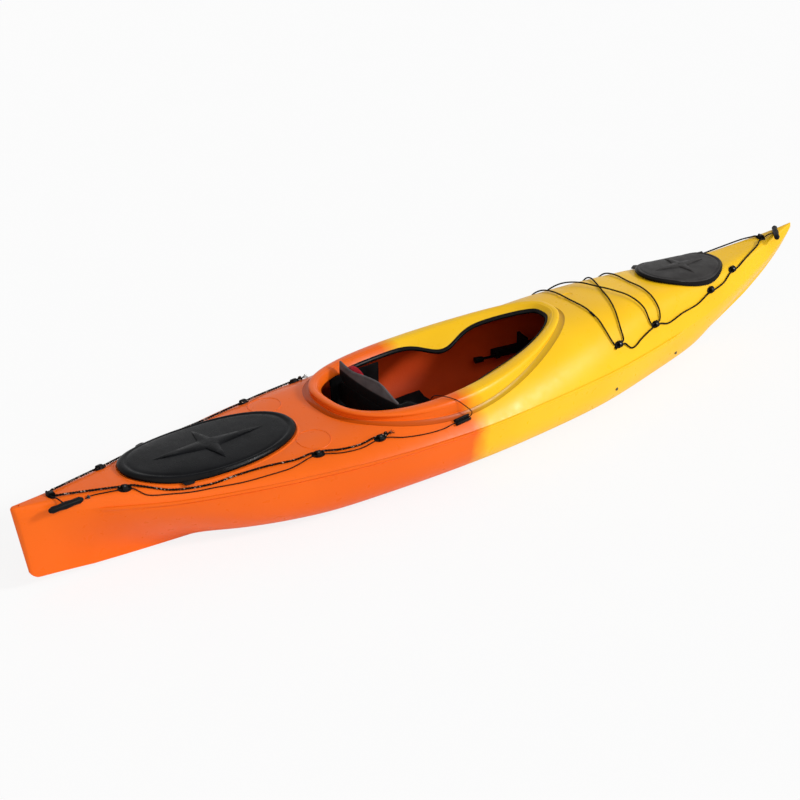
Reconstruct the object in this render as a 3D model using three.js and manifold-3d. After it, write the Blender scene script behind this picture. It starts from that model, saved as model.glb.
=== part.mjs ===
// A sit-in sea kayak of rotomoulded plastic, about 3.6 m long, in millimetres.
// +X is the bow, +Y is port, +Z is up. The origin is below the middle, on the surface it rests on.
// Hull, deck, cockpit coaming and hatch collars are one hollow moulding, as on the real boat.

import * as THREE from 'three';
import { mergeVertices } from 'three/addons/utils/BufferGeometryUtils.js';
import Module from 'manifold-3d';

const wasm = await Module();
wasm.setup();

// Driving sizes of the hull moulding.
const hull_length = 3600;
const hull_beam = 664;
const hull_height = 418;
const hull_wall = 6;
const half_length = hull_length / 2;
const half_beam = hull_beam / 2;
const stern_rake = 48;
const keel_strip_width = 44;
const keel_strip_share = 0.28;
const rake_start_share = 0.8;
const ledge_reach = 4.5;
const ledge_depth = 55;
const ledge_band = 12;
const fit_gap = 0.3;
const hull_clearance = 0.42;
const overrun = 30;

// Small forms moulded into the deck: ring marks behind the cockpit, a dish on the foredeck and the
// rudder pin's blind hole in the stern's top.
const mark_radius = 59;
const mark_width = 5;
const mark_rise = 1.2;
const mark_setback = 6;
const mark_offset = 150;
const dish_advance = 113;
const dish_offset = 45;
const dish_length = 72;
const dish_width = 30;
const dish_depth = 3;
const pin_hole_radius = 4.2;
const pin_hole_depth = 20;
const pin_hole_setback = 28;

// Cockpit coaming, measured at the outer edge of its rolled lip.
const coaming_length = 1062;
const coaming_width = 474;
const coaming_centre = -69;
const coaming_front = coaming_centre + coaming_length / 2;
const coaming_rear = coaming_centre - coaming_length / 2;
const coaming_low_height = 333;
const coaming_low_place = -350;
const coaming_front_height = 416;
const coaming_flare = 34;
const coaming_taper_share = 0.22;
const coaming_squareness = 0.75;
const lip_overhang = 14;
const lip_depth = 13;
const coaming_band = 24;
const cockpit_inset = 46;
const cockpit_drop = 24;
const brace_place = 62;
const brace_reach = 66;
const brace_drop = 27;
const brace_spread = 95;

// Hatches. Each stands on the deck between the coaming and its end of the hull, at a share of the
// deck that it leaves free.
const stern_hatch = { length: 664, width: 324, tab_share: 0.66, tab_sides: [1, -1] };
const bow_hatch = { length: 406, width: 248, tab_share: 0.74, tab_sides: [1] };
const stern_hatch_share = 0.2537;
const bow_hatch_share = 0.5204;
const stern_deck_left = half_length + coaming_rear - stern_hatch.length;
const bow_deck_left = half_length - coaming_front - bow_hatch.length;
const stern_hatch_front = coaming_rear - stern_deck_left * stern_hatch_share;
const stern_hatch_rear = stern_hatch_front - stern_hatch.length;
const bow_hatch_rear = coaming_front + bow_deck_left * bow_hatch_share;
const bow_hatch_front = bow_hatch_rear + bow_hatch.length;
stern_hatch.centre = (stern_hatch_front + stern_hatch_rear) / 2;
bow_hatch.centre = (bow_hatch_front + bow_hatch_rear) / 2;
const cover_wall = 4;
const cover_crown = 6;
const cover_skirt = 8;
const cover_skirt_gap = 3;
const collar_wall = 6;
const collar_rise = 14;
const bead_reach = 3;
const bead_height = 5;
const hatch_squareness = 0.92;
const tab_length = 42;
const tab_reach = 22;
const tab_droop = 0.14;
const rib_rise = 4.2;
const rib_root = 34;
const rib_tip = 1.2;
const rib_sink = 3;
const surround_offset = 8;
const surround_width = 15;
const surround_rise = 2.5;
const collar_inset = cover_skirt + fit_gap;
const cover_rise = collar_rise + cover_wall + fit_gap;

// Bulkhead behind the seat.
const bulkhead_thickness = 18;
const bulkhead_share = 0.735;
const bulkhead_place = coaming_rear - (coaming_rear - stern_hatch_front) * bulkhead_share;

// Seat and backrest.
const seat_front = -36;
const seat_rear = -430;
const seat_width = 380;
const seat_low = 62;
const seat_lift = 60;
const seat_wall = 5;
const cushion_thickness = 16;
const cushion_crown = 8;
const hanger_thickness = 5;
const hanger_front = -210;
const hanger_rear = -430;
const backrest_width = 344;
const backrest_top = 357;
const backrest_top_swing = 22;
const backrest_height = 68;
const backrest_place = -414;
const backrest_wrap = 14;
const backrest_thickness = 7;
const pad_thickness = 24;
const pad_height = 140;
const pad_rise = 26;
const frame_inset = 4;
const arm_width = 22;
const panel_corner = 18;
const frame_corner = 30;
const pin_level = 176;
const pin_setback = 18;
const pin_radius = 4;
const pin_clearance = 0.05;
const bore_steps = 24;

// Foot braces.
const rail_length = 600;
const rail_front_reach = 14;
const rail_height = 30;
const rail_depth = 13;
const rail_wall = 3;
const rail_bolt_spacing = 400;
const rail_rear_bolt = 578;
const rail_level = 128;
const rail_rear_standoff = 34;
const rail_front_standoff = 12;
const slide_gap = 0.4;
const pedal_length = 112;
const pedal_width = 74;
const pedal_height = 116;
const pedal_thickness = 9;
const pedal_rise = 18;
const carriage_depth = 12;
const lug_length = 16;
const lug_wall = 6;
const rod_radius = 5;
const rod_length = 60;
const knob_radius = 13;
const knob_length = 34;
const bolt_radius = 3;
const bolt_head_radius = 6.5;
const bolt_head_height = 3;
const bolt_clearance = 0.5;

// Deck fittings and lines.
const fitting_length = 48;
const fitting_width = 27;
const fitting_base = 3;
const bridge_length = 18;
const bridge_height = 14;
const tunnel_radius = 4.4;
const tunnel_offset = 6.6;
const line_radius = 2.8;
const bungee_radius = 2.6;
const thin_line_radius = 1.6;
const stern_fitting_gap = 36;
const front_fitting_overlap = 42;
const rear_deck_fitting_gap = 60;
const foredeck_rear_share = 0.2845;
const foredeck_front_share = 0.7546;
const bow_fitting_advance = 50;
const bow_fitting_gap = 8;
const nose_fitting_gap = 13;
const splice_gap = 1;
const lie_gap = 1.2;
const stern_end_share = 0.645;
const bow_end_share = 0.6018;

// Toggles.
const toggle_length = 128;
const toggle_radius = 13;
const toggle_waist_share = 0.78;
const toggle_cord_radius = 2.4;

// Hull form as shares: place of the half length, half beam, then heights of the hull height for the
// ridge, the deck crown and the keel, then how full the belly is, how far it hollows before the bilge,
// the bilge's height, and last the power that squares the deck.
const station_shares = [
  [-1.000, 0.040, 0.720, 0.806, 0.131, 0.90, 0.40, 0.70, 6.0],
  [-0.922, 0.140, 0.697, 0.797, 0.112, 0.30, 0.42, 0.72, 6.0],
  [-0.844, 0.265, 0.672, 0.782, 0.091, 0.16, 0.42, 0.70, 6.0],
  [-0.717, 0.505, 0.628, 0.748, 0.053, 0.22, 0.26, 0.58, 6.0],
  [-0.572, 0.720, 0.610, 0.716, 0.019, 0.60, 0.06, 0.36, 6.0],
  [-0.422, 0.885, 0.595, 0.720, 0.000, 0.80, 0.02, 0.27, 5.4],
  [-0.272, 0.962, 0.565, 0.760, 0.000, 0.84, 0.02, 0.27, 4.2],
  [-0.089, 1.000, 0.545, 0.830, 0.000, 0.84, 0.02, 0.27, 3.5],
  [0.056, 0.985, 0.550, 0.884, 0.000, 0.84, 0.02, 0.27, 3.5],
  [0.256, 0.895, 0.546, 0.948, 0.000, 0.80, 0.02, 0.28, 3.5],
  [0.367, 0.800, 0.541, 0.962, 0.000, 0.74, 0.03, 0.30, 3.6],
  [0.511, 0.640, 0.541, 0.938, 0.002, 0.58, 0.06, 0.36, 4.4],
  [0.611, 0.530, 0.560, 0.900, 0.012, 0.45, 0.10, 0.42, 5.4],
  [0.667, 0.467, 0.585, 0.882, 0.035, 0.36, 0.15, 0.48, 6.0],
  [0.756, 0.361, 0.645, 0.876, 0.205, 0.28, 0.25, 0.58, 6.0],
  [0.900, 0.169, 0.789, 0.940, 0.550, 0.30, 0.30, 0.62, 5.0],
  [0.967, 0.072, 0.896, 0.978, 0.777, 0.40, 0.30, 0.62, 4.0],
  [1.000, 0.016, 0.975, 1.000, 0.950, 0.80, 0.30, 0.62, 3.5],
];
const station_names = ['place', 'beam', 'ridge', 'crown', 'keel', 'belly', 'turn', 'bilge', 'square'];
const stations = station_shares.map((row) => {
  return Object.fromEntries(station_names.map((name, i) => [name, row[i]]));
});

// Places across the deck, from the ridge to the crown line, as shares of the half beam.
const deck_point_shares = [1, 0.985, 0.94, 0.86, 0.74, 0.56, 0.3, 0];
const side_steps = 8;
const hull_spans = 30;
const cavity_spans = 22;
const cavity_stern_share = 0.95;
const cavity_bow_share = 0.94;

// Small helpers: smooth tables, solids and meshes.

// Cubic through the stations for one of their named values, with slopes from the stations beside.
function fair(place_share, name) {
  const last = stations.length - 1;
  const share = Math.min(Math.max(place_share, stations[0].place), stations[last].place);
  let row = 0;
  while (row < last - 1 && share > stations[row + 1].place) row += 1;
  const slope = (k) => {
    const before = stations[Math.max(k - 1, 0)];
    const after = stations[Math.min(k + 1, last)];
    return (after[name] - before[name]) / (after.place - before.place);
  };
  const span = stations[row + 1].place - stations[row].place;
  const t = (share - stations[row].place) / span;
  const start = stations[row][name];
  const end = stations[row + 1][name];
  const rise = t * t * (3 - 2 * t);
  const leave = t * (1 - t) * (1 - t) * slope(row) * span;
  const arrive = t * t * (t - 1) * slope(row + 1) * span;
  return start + (end - start) * rise + leave + arrive;
}

const half_beam_at = (x) => half_beam * fair(x / half_length, 'beam');
const ridge_at = (x) => hull_height * fair(x / half_length, 'ridge');
const crown_at = (x) => hull_height * fair(x / half_length, 'crown');
const keel_at = (x) => hull_height * Math.max(fair(x / half_length, 'keel'), 0);

function deckHeight(x, y) {
  const out = Math.min(Math.abs(y) / half_beam_at(x), 1);
  return crown_at(x) - (crown_at(x) - ridge_at(x)) * out ** fair(x / half_length, 'square');
}

function deckNormal(x, y) {
  const step = hull_wall;
  const along = (deckHeight(x + step, y) - deckHeight(x - step, y)) / (2 * step);
  const across = (deckHeight(x, y + step) - deckHeight(x, y - step)) / (2 * step);
  return new THREE.Vector3(-along, -across, 1).normalize();
}

function toSolid(geometry) {
  const bare = geometry.index ? geometry.clone() : geometry;
  bare.deleteAttribute('normal');
  bare.deleteAttribute('uv');
  const merged = mergeVertices(bare, 1e-4);
  const positions = merged.attributes.position.array;
  const corners = merged.index.array;
  const solid = new wasm.Manifold(new wasm.Mesh({
    numProp: 3,
    vertProperties: new Float32Array(positions),
    triVerts: new Uint32Array(corners),
  }));
  return solid;
}

function toGeometry(solid) {
  const mesh = solid.getMesh();
  const geometry = new THREE.BufferGeometry();
  geometry.setAttribute('position', new THREE.BufferAttribute(new Float32Array(mesh.vertProperties), 3));
  geometry.setIndex(new THREE.BufferAttribute(new Uint32Array(mesh.triVerts), 1));
  geometry.computeVertexNormals();
  return geometry;
}

function closedGeometry(points, faces) {
  const geometry = new THREE.BufferGeometry();
  let volume = 0;
  for (let i = 0; i < faces.length; i += 3) {
    const [a, b, c] = [points[faces[i]], points[faces[i + 1]], points[faces[i + 2]]];
    volume += a[0] * (b[1] * c[2] - b[2] * c[1]) - a[1] * (b[0] * c[2] - b[2] * c[0])
      + a[2] * (b[0] * c[1] - b[1] * c[0]);
  }
  const order = [];
  for (let i = 0; i < faces.length; i += 3) {
    if (volume < 0) order.push(faces[i], faces[i + 2], faces[i + 1]);
    else order.push(faces[i], faces[i + 1], faces[i + 2]);
  }
  geometry.setAttribute('position', new THREE.Float32BufferAttribute(points.flat(), 3));
  geometry.setIndex(order);
  return geometry;
}

// Skin over a row of closed outlines: capped at both ends, or closed on itself as a ring.
function loft(outlines, is_ring = false) {
  const count = outlines[0].length;
  const points = outlines.flat();
  const faces = [];
  const spans = is_ring ? outlines.length : outlines.length - 1;
  for (let i = 0; i < spans; i += 1) {
    const near = i * count;
    const far = ((i + 1) % outlines.length) * count;
    for (let j = 0; j < count; j += 1) {
      const k = (j + 1) % count;
      faces.push(near + j, near + k, far + k, near + j, far + k, far + j);
    }
  }
  if (!is_ring) {
    [0, outlines.length - 1].forEach((end) => {
      const middle = [0, 1, 2].map((axis) => outlines[end].reduce((sum, p) => sum + p[axis], 0) / count);
      points.push(middle);
      for (let j = 0; j < count; j += 1) {
        const a = end * count + j;
        const b = end * count + ((j + 1) % count);
        if (end === 0) faces.push(points.length - 1, b, a);
        else faces.push(points.length - 1, a, b);
      }
    });
  }
  return closedGeometry(points, faces);
}

const parts = new THREE.Group();

function finish(colour, roughness, metalness = 0) {
  return new THREE.MeshStandardMaterial({ color: colour, roughness, metalness });
}

const moulded_plastic = finish(0xf97a1e, 0.42);
const black_rubber = finish(0x1c1d1f, 0.6);
const grey_rubber = finish(0x464446, 0.6);
const black_plastic = finish(0x17181a, 0.5);
const grey_plastic = finish(0x4a4648, 0.65);
const black_foam = finish(0x202122, 0.9);
const black_cord = finish(0x1b1614, 0.85);
const red_fabric = finish(0xb3222c, 0.85);
const black_fabric = finish(0x1a1a1c, 0.9);
const steel = finish(0xa8aaad, 0.35, 1);

function addPart(name, geometry, material, group = parts) {
  const mesh = new THREE.Mesh(geometry, material);
  mesh.name = name;
  group.add(mesh);
  return mesh;
}

// Hull outlines.

function cubic(p, q, r, s, t) {
  const u = 1 - t;
  return [0, 1].map((k) => u * u * u * p[k] + 3 * u * u * t * q[k] + 3 * u * t * t * r[k] + t * t * t * s[k]);
}

// Where the side ledge starts, is full, begins to fade and ends, as shares of the half length.
const ledge_shares = [-0.867, -0.828, 0.5, 0.567];

function ledgeAt(x) {
  const [start, full, fading, end] = ledge_shares.map((share) => share * half_length);
  const rising = THREE.MathUtils.smoothstep(x, start, full);
  return ledge_reach * rising * (1 - THREE.MathUtils.smoothstep(x, fading, end));
}

// Half of a hull outline at one station, from the keel strip to the deck crown, as [across, up].
// The outside has a moulded ledge: the side swells out below the ridge and steps back in at it.
function halfOutline(x, has_ledge = false) {
  const share = x / half_length;
  const beam = half_beam_at(x);
  const ridge = ridge_at(x);
  const keel = Math.min(keel_at(x), ridge - hull_wall);
  const side = ridge - keel;
  const strip = Math.min(keel_strip_width / 2, beam * keel_strip_share);
  const belly = Math.max(fair(share, 'belly') * beam, strip);
  const turn = keel + side * fair(share, 'turn');
  const bilge = keel + side * fair(share, 'bilge');
  const points = [];
  for (let i = 0; i <= side_steps; i += 1) {
    const start = [strip, keel];
    const bilge_beam = beam * 0.975;
    points.push(cubic(start, [belly, turn], [bilge_beam, bilge], [beam, ridge], i / side_steps));
  }
  if (has_ledge) {
    const reach = ledgeAt(x);
    const [low, high] = [ridge - ledge_depth, ridge - ledge_band];
    points.slice(0, -1).forEach((point) => {
      point[0] += reach * THREE.MathUtils.smoothstep(point[1], low, high);
    });
    points.splice(-1, 0, [beam + reach, ridge - Math.min(hull_wall * 0.2, side * 0.05)]);
  }
  deck_point_shares.slice(1).forEach((out) => {
    points.push([beam * out, deckHeight(x, beam * out)]);
  });
  return points;
}

// Both halves of an outline as space points, leaning back with the raked stern.
function hullOutline(x, half) {
  const lean_share = (-x / half_length - rake_start_share) / (1 - rake_start_share);
  const lean = stern_rake * Math.max(0, Math.min(1, lean_share));
  const crown = half[half.length - 1][1];
  const depth = crown_at(x) - keel_at(x);
  const place = ([across, up]) => [x + lean * (crown - up) / depth, across, up];
  const port = half.map(place);
  const starboard = half.slice(0, -1).reverse().map(([across, up]) => place([-across, up]));
  return [...port, ...starboard];
}

// A corner of an outline moved to the right of its running direction, keeping both walls even.
function movedCorner(before, point, after, distance) {
  const normals = [[before, point], [point, after]].map(([from, to]) => {
    const size = Math.hypot(to[0] - from[0], to[1] - from[1]);
    return [(to[1] - from[1]) / size, (from[0] - to[0]) / size];
  });
  const [[ax, ay], [bx, by]] = normals;
  const reach = distance / (1 + ax * bx + ay * by);
  return [point[0] + (ax + bx) * reach, point[1] + (ay + by) * reach];
}

// Outline moved in by a wall, with a level floor where the hull grows too narrow for a hollow.
function insetHalf(half, wall) {
  const moved = half.map((point, i) => {
    const before = half[i - 1] || [point[0] - hull_wall, point[1]];
    const after = half[i + 1] || [point[0] - hull_wall, point[1]];
    return movedCorner(before, point, after, -wall);
  });
  const narrow = hull_wall * 0.7;
  const first = moved.findIndex(([across]) => across >= narrow);
  if (first <= 0) return moved;
  return moved.map((point, i) => (i < first ? [narrow * (i + 1) / (first + 1), moved[first][1]] : point));
}

function hullSolid(wall, spans, stern_share, bow_share) {
  const outlines = [];
  for (let i = 0; i <= spans; i += 1) {
    const turn = (i / spans - 0.5) * Math.PI;
    const even = 0.35 * (2 * i / spans - 1) + 0.65 * Math.sin(turn);
    const share = even < 0 ? even * stern_share : even * bow_share;
    const x = share * half_length;
    const half = halfOutline(x, wall <= 0);
    outlines.push(hullOutline(x, wall === 0 ? half : insetHalf(half, wall)));
  }
  return toSolid(loft(outlines));
}

const hull_outside = hullSolid(0, hull_spans, 1, 1);
const hull_cavity = hullSolid(hull_wall, cavity_spans, cavity_stern_share, cavity_bow_share);
const clear_outside = hullSolid(-hull_clearance, hull_spans, 1, 1);
const clear_wall = hull_wall + hull_clearance;
const clear_cavity = hullSolid(clear_wall, cavity_spans, cavity_stern_share, cavity_bow_share);

// Plan curves: egg of the coaming and ovals of the hatches. Each gives a point and its outward normal.

function coamingPlan(turn) {
  const wide = Math.abs(Math.sin(turn)) ** coaming_squareness * Math.sign(Math.sin(turn));
  const x = coaming_centre + (coaming_length / 2) * Math.cos(turn);
  const y = (coaming_width / 2) * wide * (1 - coaming_taper_share * Math.cos(turn));
  return [x, y];
}

function ovalPlan(hatch, inset) {
  return (turn) => {
    const round = (value) => Math.abs(value) ** hatch_squareness * Math.sign(value);
    const x = hatch.centre + (hatch.length / 2 - inset) * round(Math.cos(turn));
    const y = (hatch.width / 2 - inset) * round(Math.sin(turn));
    return [x, y];
  };
}

function planNormal(plan, turn) {
  const step = 0.02;
  const [x0, y0] = plan(turn - step);
  const [x1, y1] = plan(turn + step);
  const size = Math.hypot(x1 - x0, y1 - y0);
  return [(y1 - y0) / size, -(x1 - x0) / size];
}

function coamingHeight(x) {
  const share = (x - coaming_low_place) / (coaming_front - coaming_low_place);
  return coaming_low_height + (coaming_front_height - coaming_low_height) * share * share;
}

// The coaming leans out along its sides and overhangs as a lip at its ends.
function coamingLean(turn) {
  return Math.abs(Math.sin(turn)) ** 3;
}

function coamingFoot(turn) {
  return lip_overhang - (lip_overhang + coaming_flare) * coamingLean(turn);
}

const coaming_steps = 48;

// Closed outline, running counterclockwise, moved outwards by a distance at every corner.
function grownOutline(outline, distance) {
  return outline.map((point, i) => {
    const before = outline[(i + outline.length - 1) % outline.length];
    const after = outline[(i + 1) % outline.length];
    return movedCorner(before, point, after, distance);
  });
}

// One section of the coaming: foot, rolled lip, crest, slope to the cockpit edge, and back below.
function coamingSection(turn, growth = 0) {
  const [x, y] = coamingPlan(turn);
  const [nx, ny] = planNormal(coamingPlan, turn);
  const crest = coamingHeight(x);
  const brace_share = Math.exp(-(((x - brace_place) / brace_spread) ** 2));
  const brace = brace_share * Math.min(1, Math.abs(y) / coaming_band);
  const reach = cockpit_inset + brace_reach * brace;
  const drop = cockpit_drop + brace_drop * brace;
  const wall = hull_wall;
  const middle = (coaming_band + reach) / 2;
  const lean = coamingLean(turn);
  const foot = coamingFoot(turn);
  const deck = (inset) => deckHeight(x - nx * inset, y - ny * inset) - wall * 0.6;
  const outer_foot = Math.min(deck(foot), crest - lip_depth * 1.1);
  const inner_foot = Math.min(deck(foot + wall), crest - lip_depth * 1.1);
  const waist = lip_depth * (1 + lean);
  const profile = [
    [-foot, outer_foot],
    [-lip_overhang + (lip_overhang + coaming_flare * 0.72) * lean, crest - waist],
    [-wall * 0.2 + coaming_flare * 0.55 * lean, crest - waist + lip_depth * (0.1 + 0.4 * lean)],
    [coaming_flare * 0.32 * lean, crest - wall * 0.7],
    [-wall * 0.5 + coaming_flare * 0.12 * lean, crest - wall * 0.2],
    [-wall * 1.5, crest],
    [-coaming_band, crest - wall * 0.2],
    [-middle, crest - drop * 0.45],
    [-reach, crest - drop],
    [-reach + wall * 0.3, crest - drop - wall],
    [-middle + wall * 0.5, crest - drop * 0.45 - wall * 1.2],
    [-coaming_band - wall * 0.2, crest - wall * 1.4],
    [-lip_overhang - wall + (lip_overhang + coaming_flare * 0.6) * lean, crest - waist],
    [-foot - wall, inner_foot],
  ];
  return grownOutline(profile, growth).map(([out, up]) => [x + nx * out, y + ny * out, up]);
}

function ringTurns(steps) {
  return Array.from({ length: steps }, (_, i) => (2 * Math.PI * (i + 0.5)) / steps);
}

function coamingSolid(growth) {
  return toSolid(loft(ringTurns(coaming_steps).map((turn) => coamingSection(turn, growth)), true));
}

// Straight cutter with a plan outline, from a low to a high level.
function planCutter(plan, inset_at, low, high, steps) {
  const outline = ringTurns(steps).map((turn) => {
    const [x, y] = plan(turn);
    const [nx, ny] = planNormal(plan, turn);
    return [x - nx * inset_at(turn), y - ny * inset_at(turn)];
  });
  const level = (z) => outline.map(([x, y]) => [x, y, z]);
  return toSolid(loft([level(low), level(high)]));
}

const hatch_steps = 32;

// Collar round a hatch opening: it stands on the deck and ends in a small bead for the cover.
function collarSection(hatch, turn) {
  const plan = ovalPlan(hatch, 0);
  const [px, py] = plan(turn);
  const [nx, ny] = planNormal(plan, turn);
  const [x, y] = [px - nx * collar_inset, py - ny * collar_inset];
  const deck = deckHeight(x, y);
  const top = deck + collar_rise;
  const foot = deck - hull_wall * 0.6;
  const inner_deck = deckHeight(x - nx * collar_wall, y - ny * collar_wall);
  const inner = Math.min(inner_deck - hull_wall * 0.6, top - bead_height);
  const profile = [
    [-bead_reach, foot],
    [-bead_reach, top - bead_height],
    [0, top - bead_height * 0.6],
    [0, top],
    [-collar_wall, top],
    [-collar_wall, inner],
  ];
  return profile.map(([out, up]) => [x + nx * out, y + ny * out, up]);
}

function collarSolid(hatch) {
  return toSolid(loft(ringTurns(hatch_steps).map((turn) => collarSection(hatch, turn)), true));
}

// Low ridge of the deck round the stern hatch, which keeps water away from the cover.
const surround_profile_shares = [[-1, -1], [-0.5, 0.8], [0.4, 0.8], [1, -1]];

function surroundSolid(hatch) {
  const plan = ovalPlan(hatch, 0);
  return toSolid(loft(ringTurns(hatch_steps).map((turn) => {
    const [px, py] = plan(turn);
    const [nx, ny] = planNormal(plan, turn);
    return surround_profile_shares.map(([out_share, up_share]) => {
      const out = surround_offset + (surround_width / 2) * out_share;
      const [x, y] = [px + nx * out, py + ny * out];
      return [x, y, deckHeight(x, y) + surround_rise * up_share];
    });
  }), true));
}

const mark_steps = 24;

// Raised ring mark on the deck.
function markSolid(side) {
  const profile_shares = [[-1, -1], [-0.5, 1], [0.5, 1], [1, -1]];
  return toSolid(loft(ringTurns(mark_steps).map((turn) => profile_shares.map(([out_share, up_share]) => {
    const radius = mark_radius + (mark_width / 2) * out_share;
    const x = stern_hatch_front - mark_setback + radius * Math.cos(turn);
    const y = side * mark_offset + radius * Math.sin(turn);
    return [x, y, deckHeight(x, y) + mark_rise * up_share];
  })), true));
}

// Cutter of the shallow dish on the foredeck: each level is a grown outline with its height.
function dishSolid() {
  const level_shares = [[0.8, -1], [1, -0.2], [1.12, 2.5]];
  const round = (value) => Math.sqrt(Math.abs(value)) * Math.sign(value);
  return toSolid(loft(level_shares.map(([grow_share, up_share]) => ringTurns(hatch_steps / 2).map((turn) => {
    const x = coaming_front + dish_advance + grow_share * (dish_length / 2) * round(Math.cos(turn));
    const y = dish_offset + grow_share * (dish_width / 2) * round(Math.sin(turn));
    return [x, y, deckHeight(x, y) + dish_depth * up_share];
  }))));
}

function roundTool(radius, length, steps = 16) {
  return new THREE.CylinderGeometry(radius, radius, length, steps);
}

// Bore whose flats, not its corners, clear a pin of a given radius.
function boreTool(radius, length) {
  const corner_radius = (radius + pin_clearance) / Math.cos(Math.PI / bore_steps);
  return roundTool(corner_radius, length, bore_steps);
}

function frameAt(origin, forward, up) {
  const x_axis = forward.clone().projectOnPlane(up).normalize();
  const y_axis = new THREE.Vector3().crossVectors(up, x_axis);
  const frame = new THREE.Matrix4().makeBasis(x_axis, y_axis, up.clone().normalize());
  return frame.setPosition(origin);
}

// Foot brace line on each side: two bolt places on the inner wall, both at the rail's level.

function wallAcross(x, level) {
  const half = halfOutline(x);
  for (let i = 1; i < half.length; i += 1) {
    const [a, b] = [half[i - 1], half[i]];
    if (b[1] >= level) return a[0] + (b[0] - a[0]) * (level - a[1]) / (b[1] - a[1]);
  }
  return half_beam_at(x);
}

const front_bolt_place = rail_rear_bolt + rail_bolt_spacing;

// Axes of one foot brace: forward along the rail and outward through the hull side, both level.
// The rail stands further off the wall at its rear bolt, so its free rear end clears the hull.
function braceAxes(side) {
  const [rear, front] = [rail_rear_bolt, front_bolt_place].map((x) => {
    return new THREE.Vector3(x, side * wallAcross(x, rail_level), rail_level);
  });
  const inwards = new THREE.Vector3(0, -side, 0);
  const rail_rear_point = rear.clone().addScaledVector(inwards, rail_rear_standoff);
  const rail_front_point = front.clone().addScaledVector(inwards, rail_front_standoff);
  const forward = rail_front_point.sub(rail_rear_point).normalize();
  const outward = new THREE.Vector3(0, 0, side).cross(forward);
  return { rear, front, forward, outward };
}

function boltTool(place, outward, radius, inner, outer) {
  const tool = roundTool(radius, inner + outer, 8);
  tool.translate(0, (outer - inner) / 2, 0);
  const turn = new THREE.Quaternion().setFromUnitVectors(new THREE.Vector3(0, 1, 0), outward);
  tool.applyQuaternion(turn);
  tool.translate(place.x, place.y, place.z);
  return tool;
}

function hullMoulding() {
  let hull = hull_outside.subtract(hull_cavity);
  const wall_line = (turn) => coamingFoot(turn) + hull_wall / 2;
  const [low, high] = [ridge_at(0) + hull_wall, hull_height + overrun];
  hull = hull.subtract(planCutter(coamingPlan, wall_line, low, high, coaming_steps));
  [stern_hatch, bow_hatch].forEach((hatch) => {
    const inset = () => collar_inset + collar_wall / 2 + bead_reach / 2;
    hull = hull.subtract(planCutter(ovalPlan(hatch, 0), inset, low, high, hatch_steps));
    hull = hull.add(collarSolid(hatch));
  });
  hull = hull.add(coamingSolid(0)).add(surroundSolid(stern_hatch)).add(markSolid(1)).add(markSolid(-1));
  const pin_hole = roundTool(pin_hole_radius, pin_hole_depth * 2);
  pin_hole.rotateX(Math.PI / 2);
  const pin_hole_place = pin_hole_setback - half_length;
  pin_hole.translate(pin_hole_place, 0, deckHeight(pin_hole_place, 0));
  hull = hull.subtract(toSolid(pin_hole)).subtract(dishSolid());
  [1, -1].forEach((side) => {
    const { rear, front, outward } = braceAxes(side);
    [rear, front].forEach((place) => {
      const hole = boltTool(place, outward, bolt_radius + bolt_clearance, overrun, overrun);
      hull = hull.subtract(toSolid(hole));
    });
  });
  return hull;
}

const hull_solid = hullMoulding();
addPart('hull_and_deck', toGeometry(hull_solid), moulded_plastic);

// Hatch covers: arched rubber caps with a skirt round the collar and pull tabs.

// Rings run from the middle of the top out over the rim, round the skirt and back underneath.
const cover_ring_shares = [0.04, 0.5, 0.8, 0.97];

// Stiffening ribs of a cover: way in degrees, then shares of the cover's half size and of the root.
const rib_shares = [[-14, 0.66, 1], [166, 0.66, 1], [62, 0.6, 1.18], [242, 0.6, 1.18]];
const rib_spans = 5;

// One tapered rib, from the middle of a cover outwards. Its foot is sunk into the cover.
function coverRib(hatch, angle, length_share, root_share) {
  const [half_x, half_y] = [hatch.length / 2, hatch.width / 2];
  const [along_x, along_y] = [Math.cos(angle), Math.sin(angle)];
  const reach = length_share / Math.hypot(along_x / half_x, along_y / half_y);
  const root = rib_root * root_share * (hatch.width / stern_hatch.width);
  const outlines = [];
  for (let i = 0; i <= rib_spans; i += 1) {
    const share = i / rib_spans;
    const half = root * (1 - share) + rib_tip;
    const rise = rib_rise * Math.min(1, (1 - share) * 4) + rib_tip / 3;
    const profile = [[1, -rib_sink], [0.85, rise], [0, rise * 1.25], [-0.85, rise], [-1, -rib_sink]];
    outlines.push(profile.map(([across, up]) => {
      const x = along_x * reach * share - along_y * half * across;
      const y = along_y * reach * share + along_x * half * across;
      const out = Math.hypot(x / half_x, y / half_y);
      const [px, py] = [hatch.centre + x, y];
      return [px, py, deckHeight(px, py) + cover_rise + cover_crown * (1 - out * out) + up];
    }));
  }
  return toSolid(loft(outlines));
}

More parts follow.
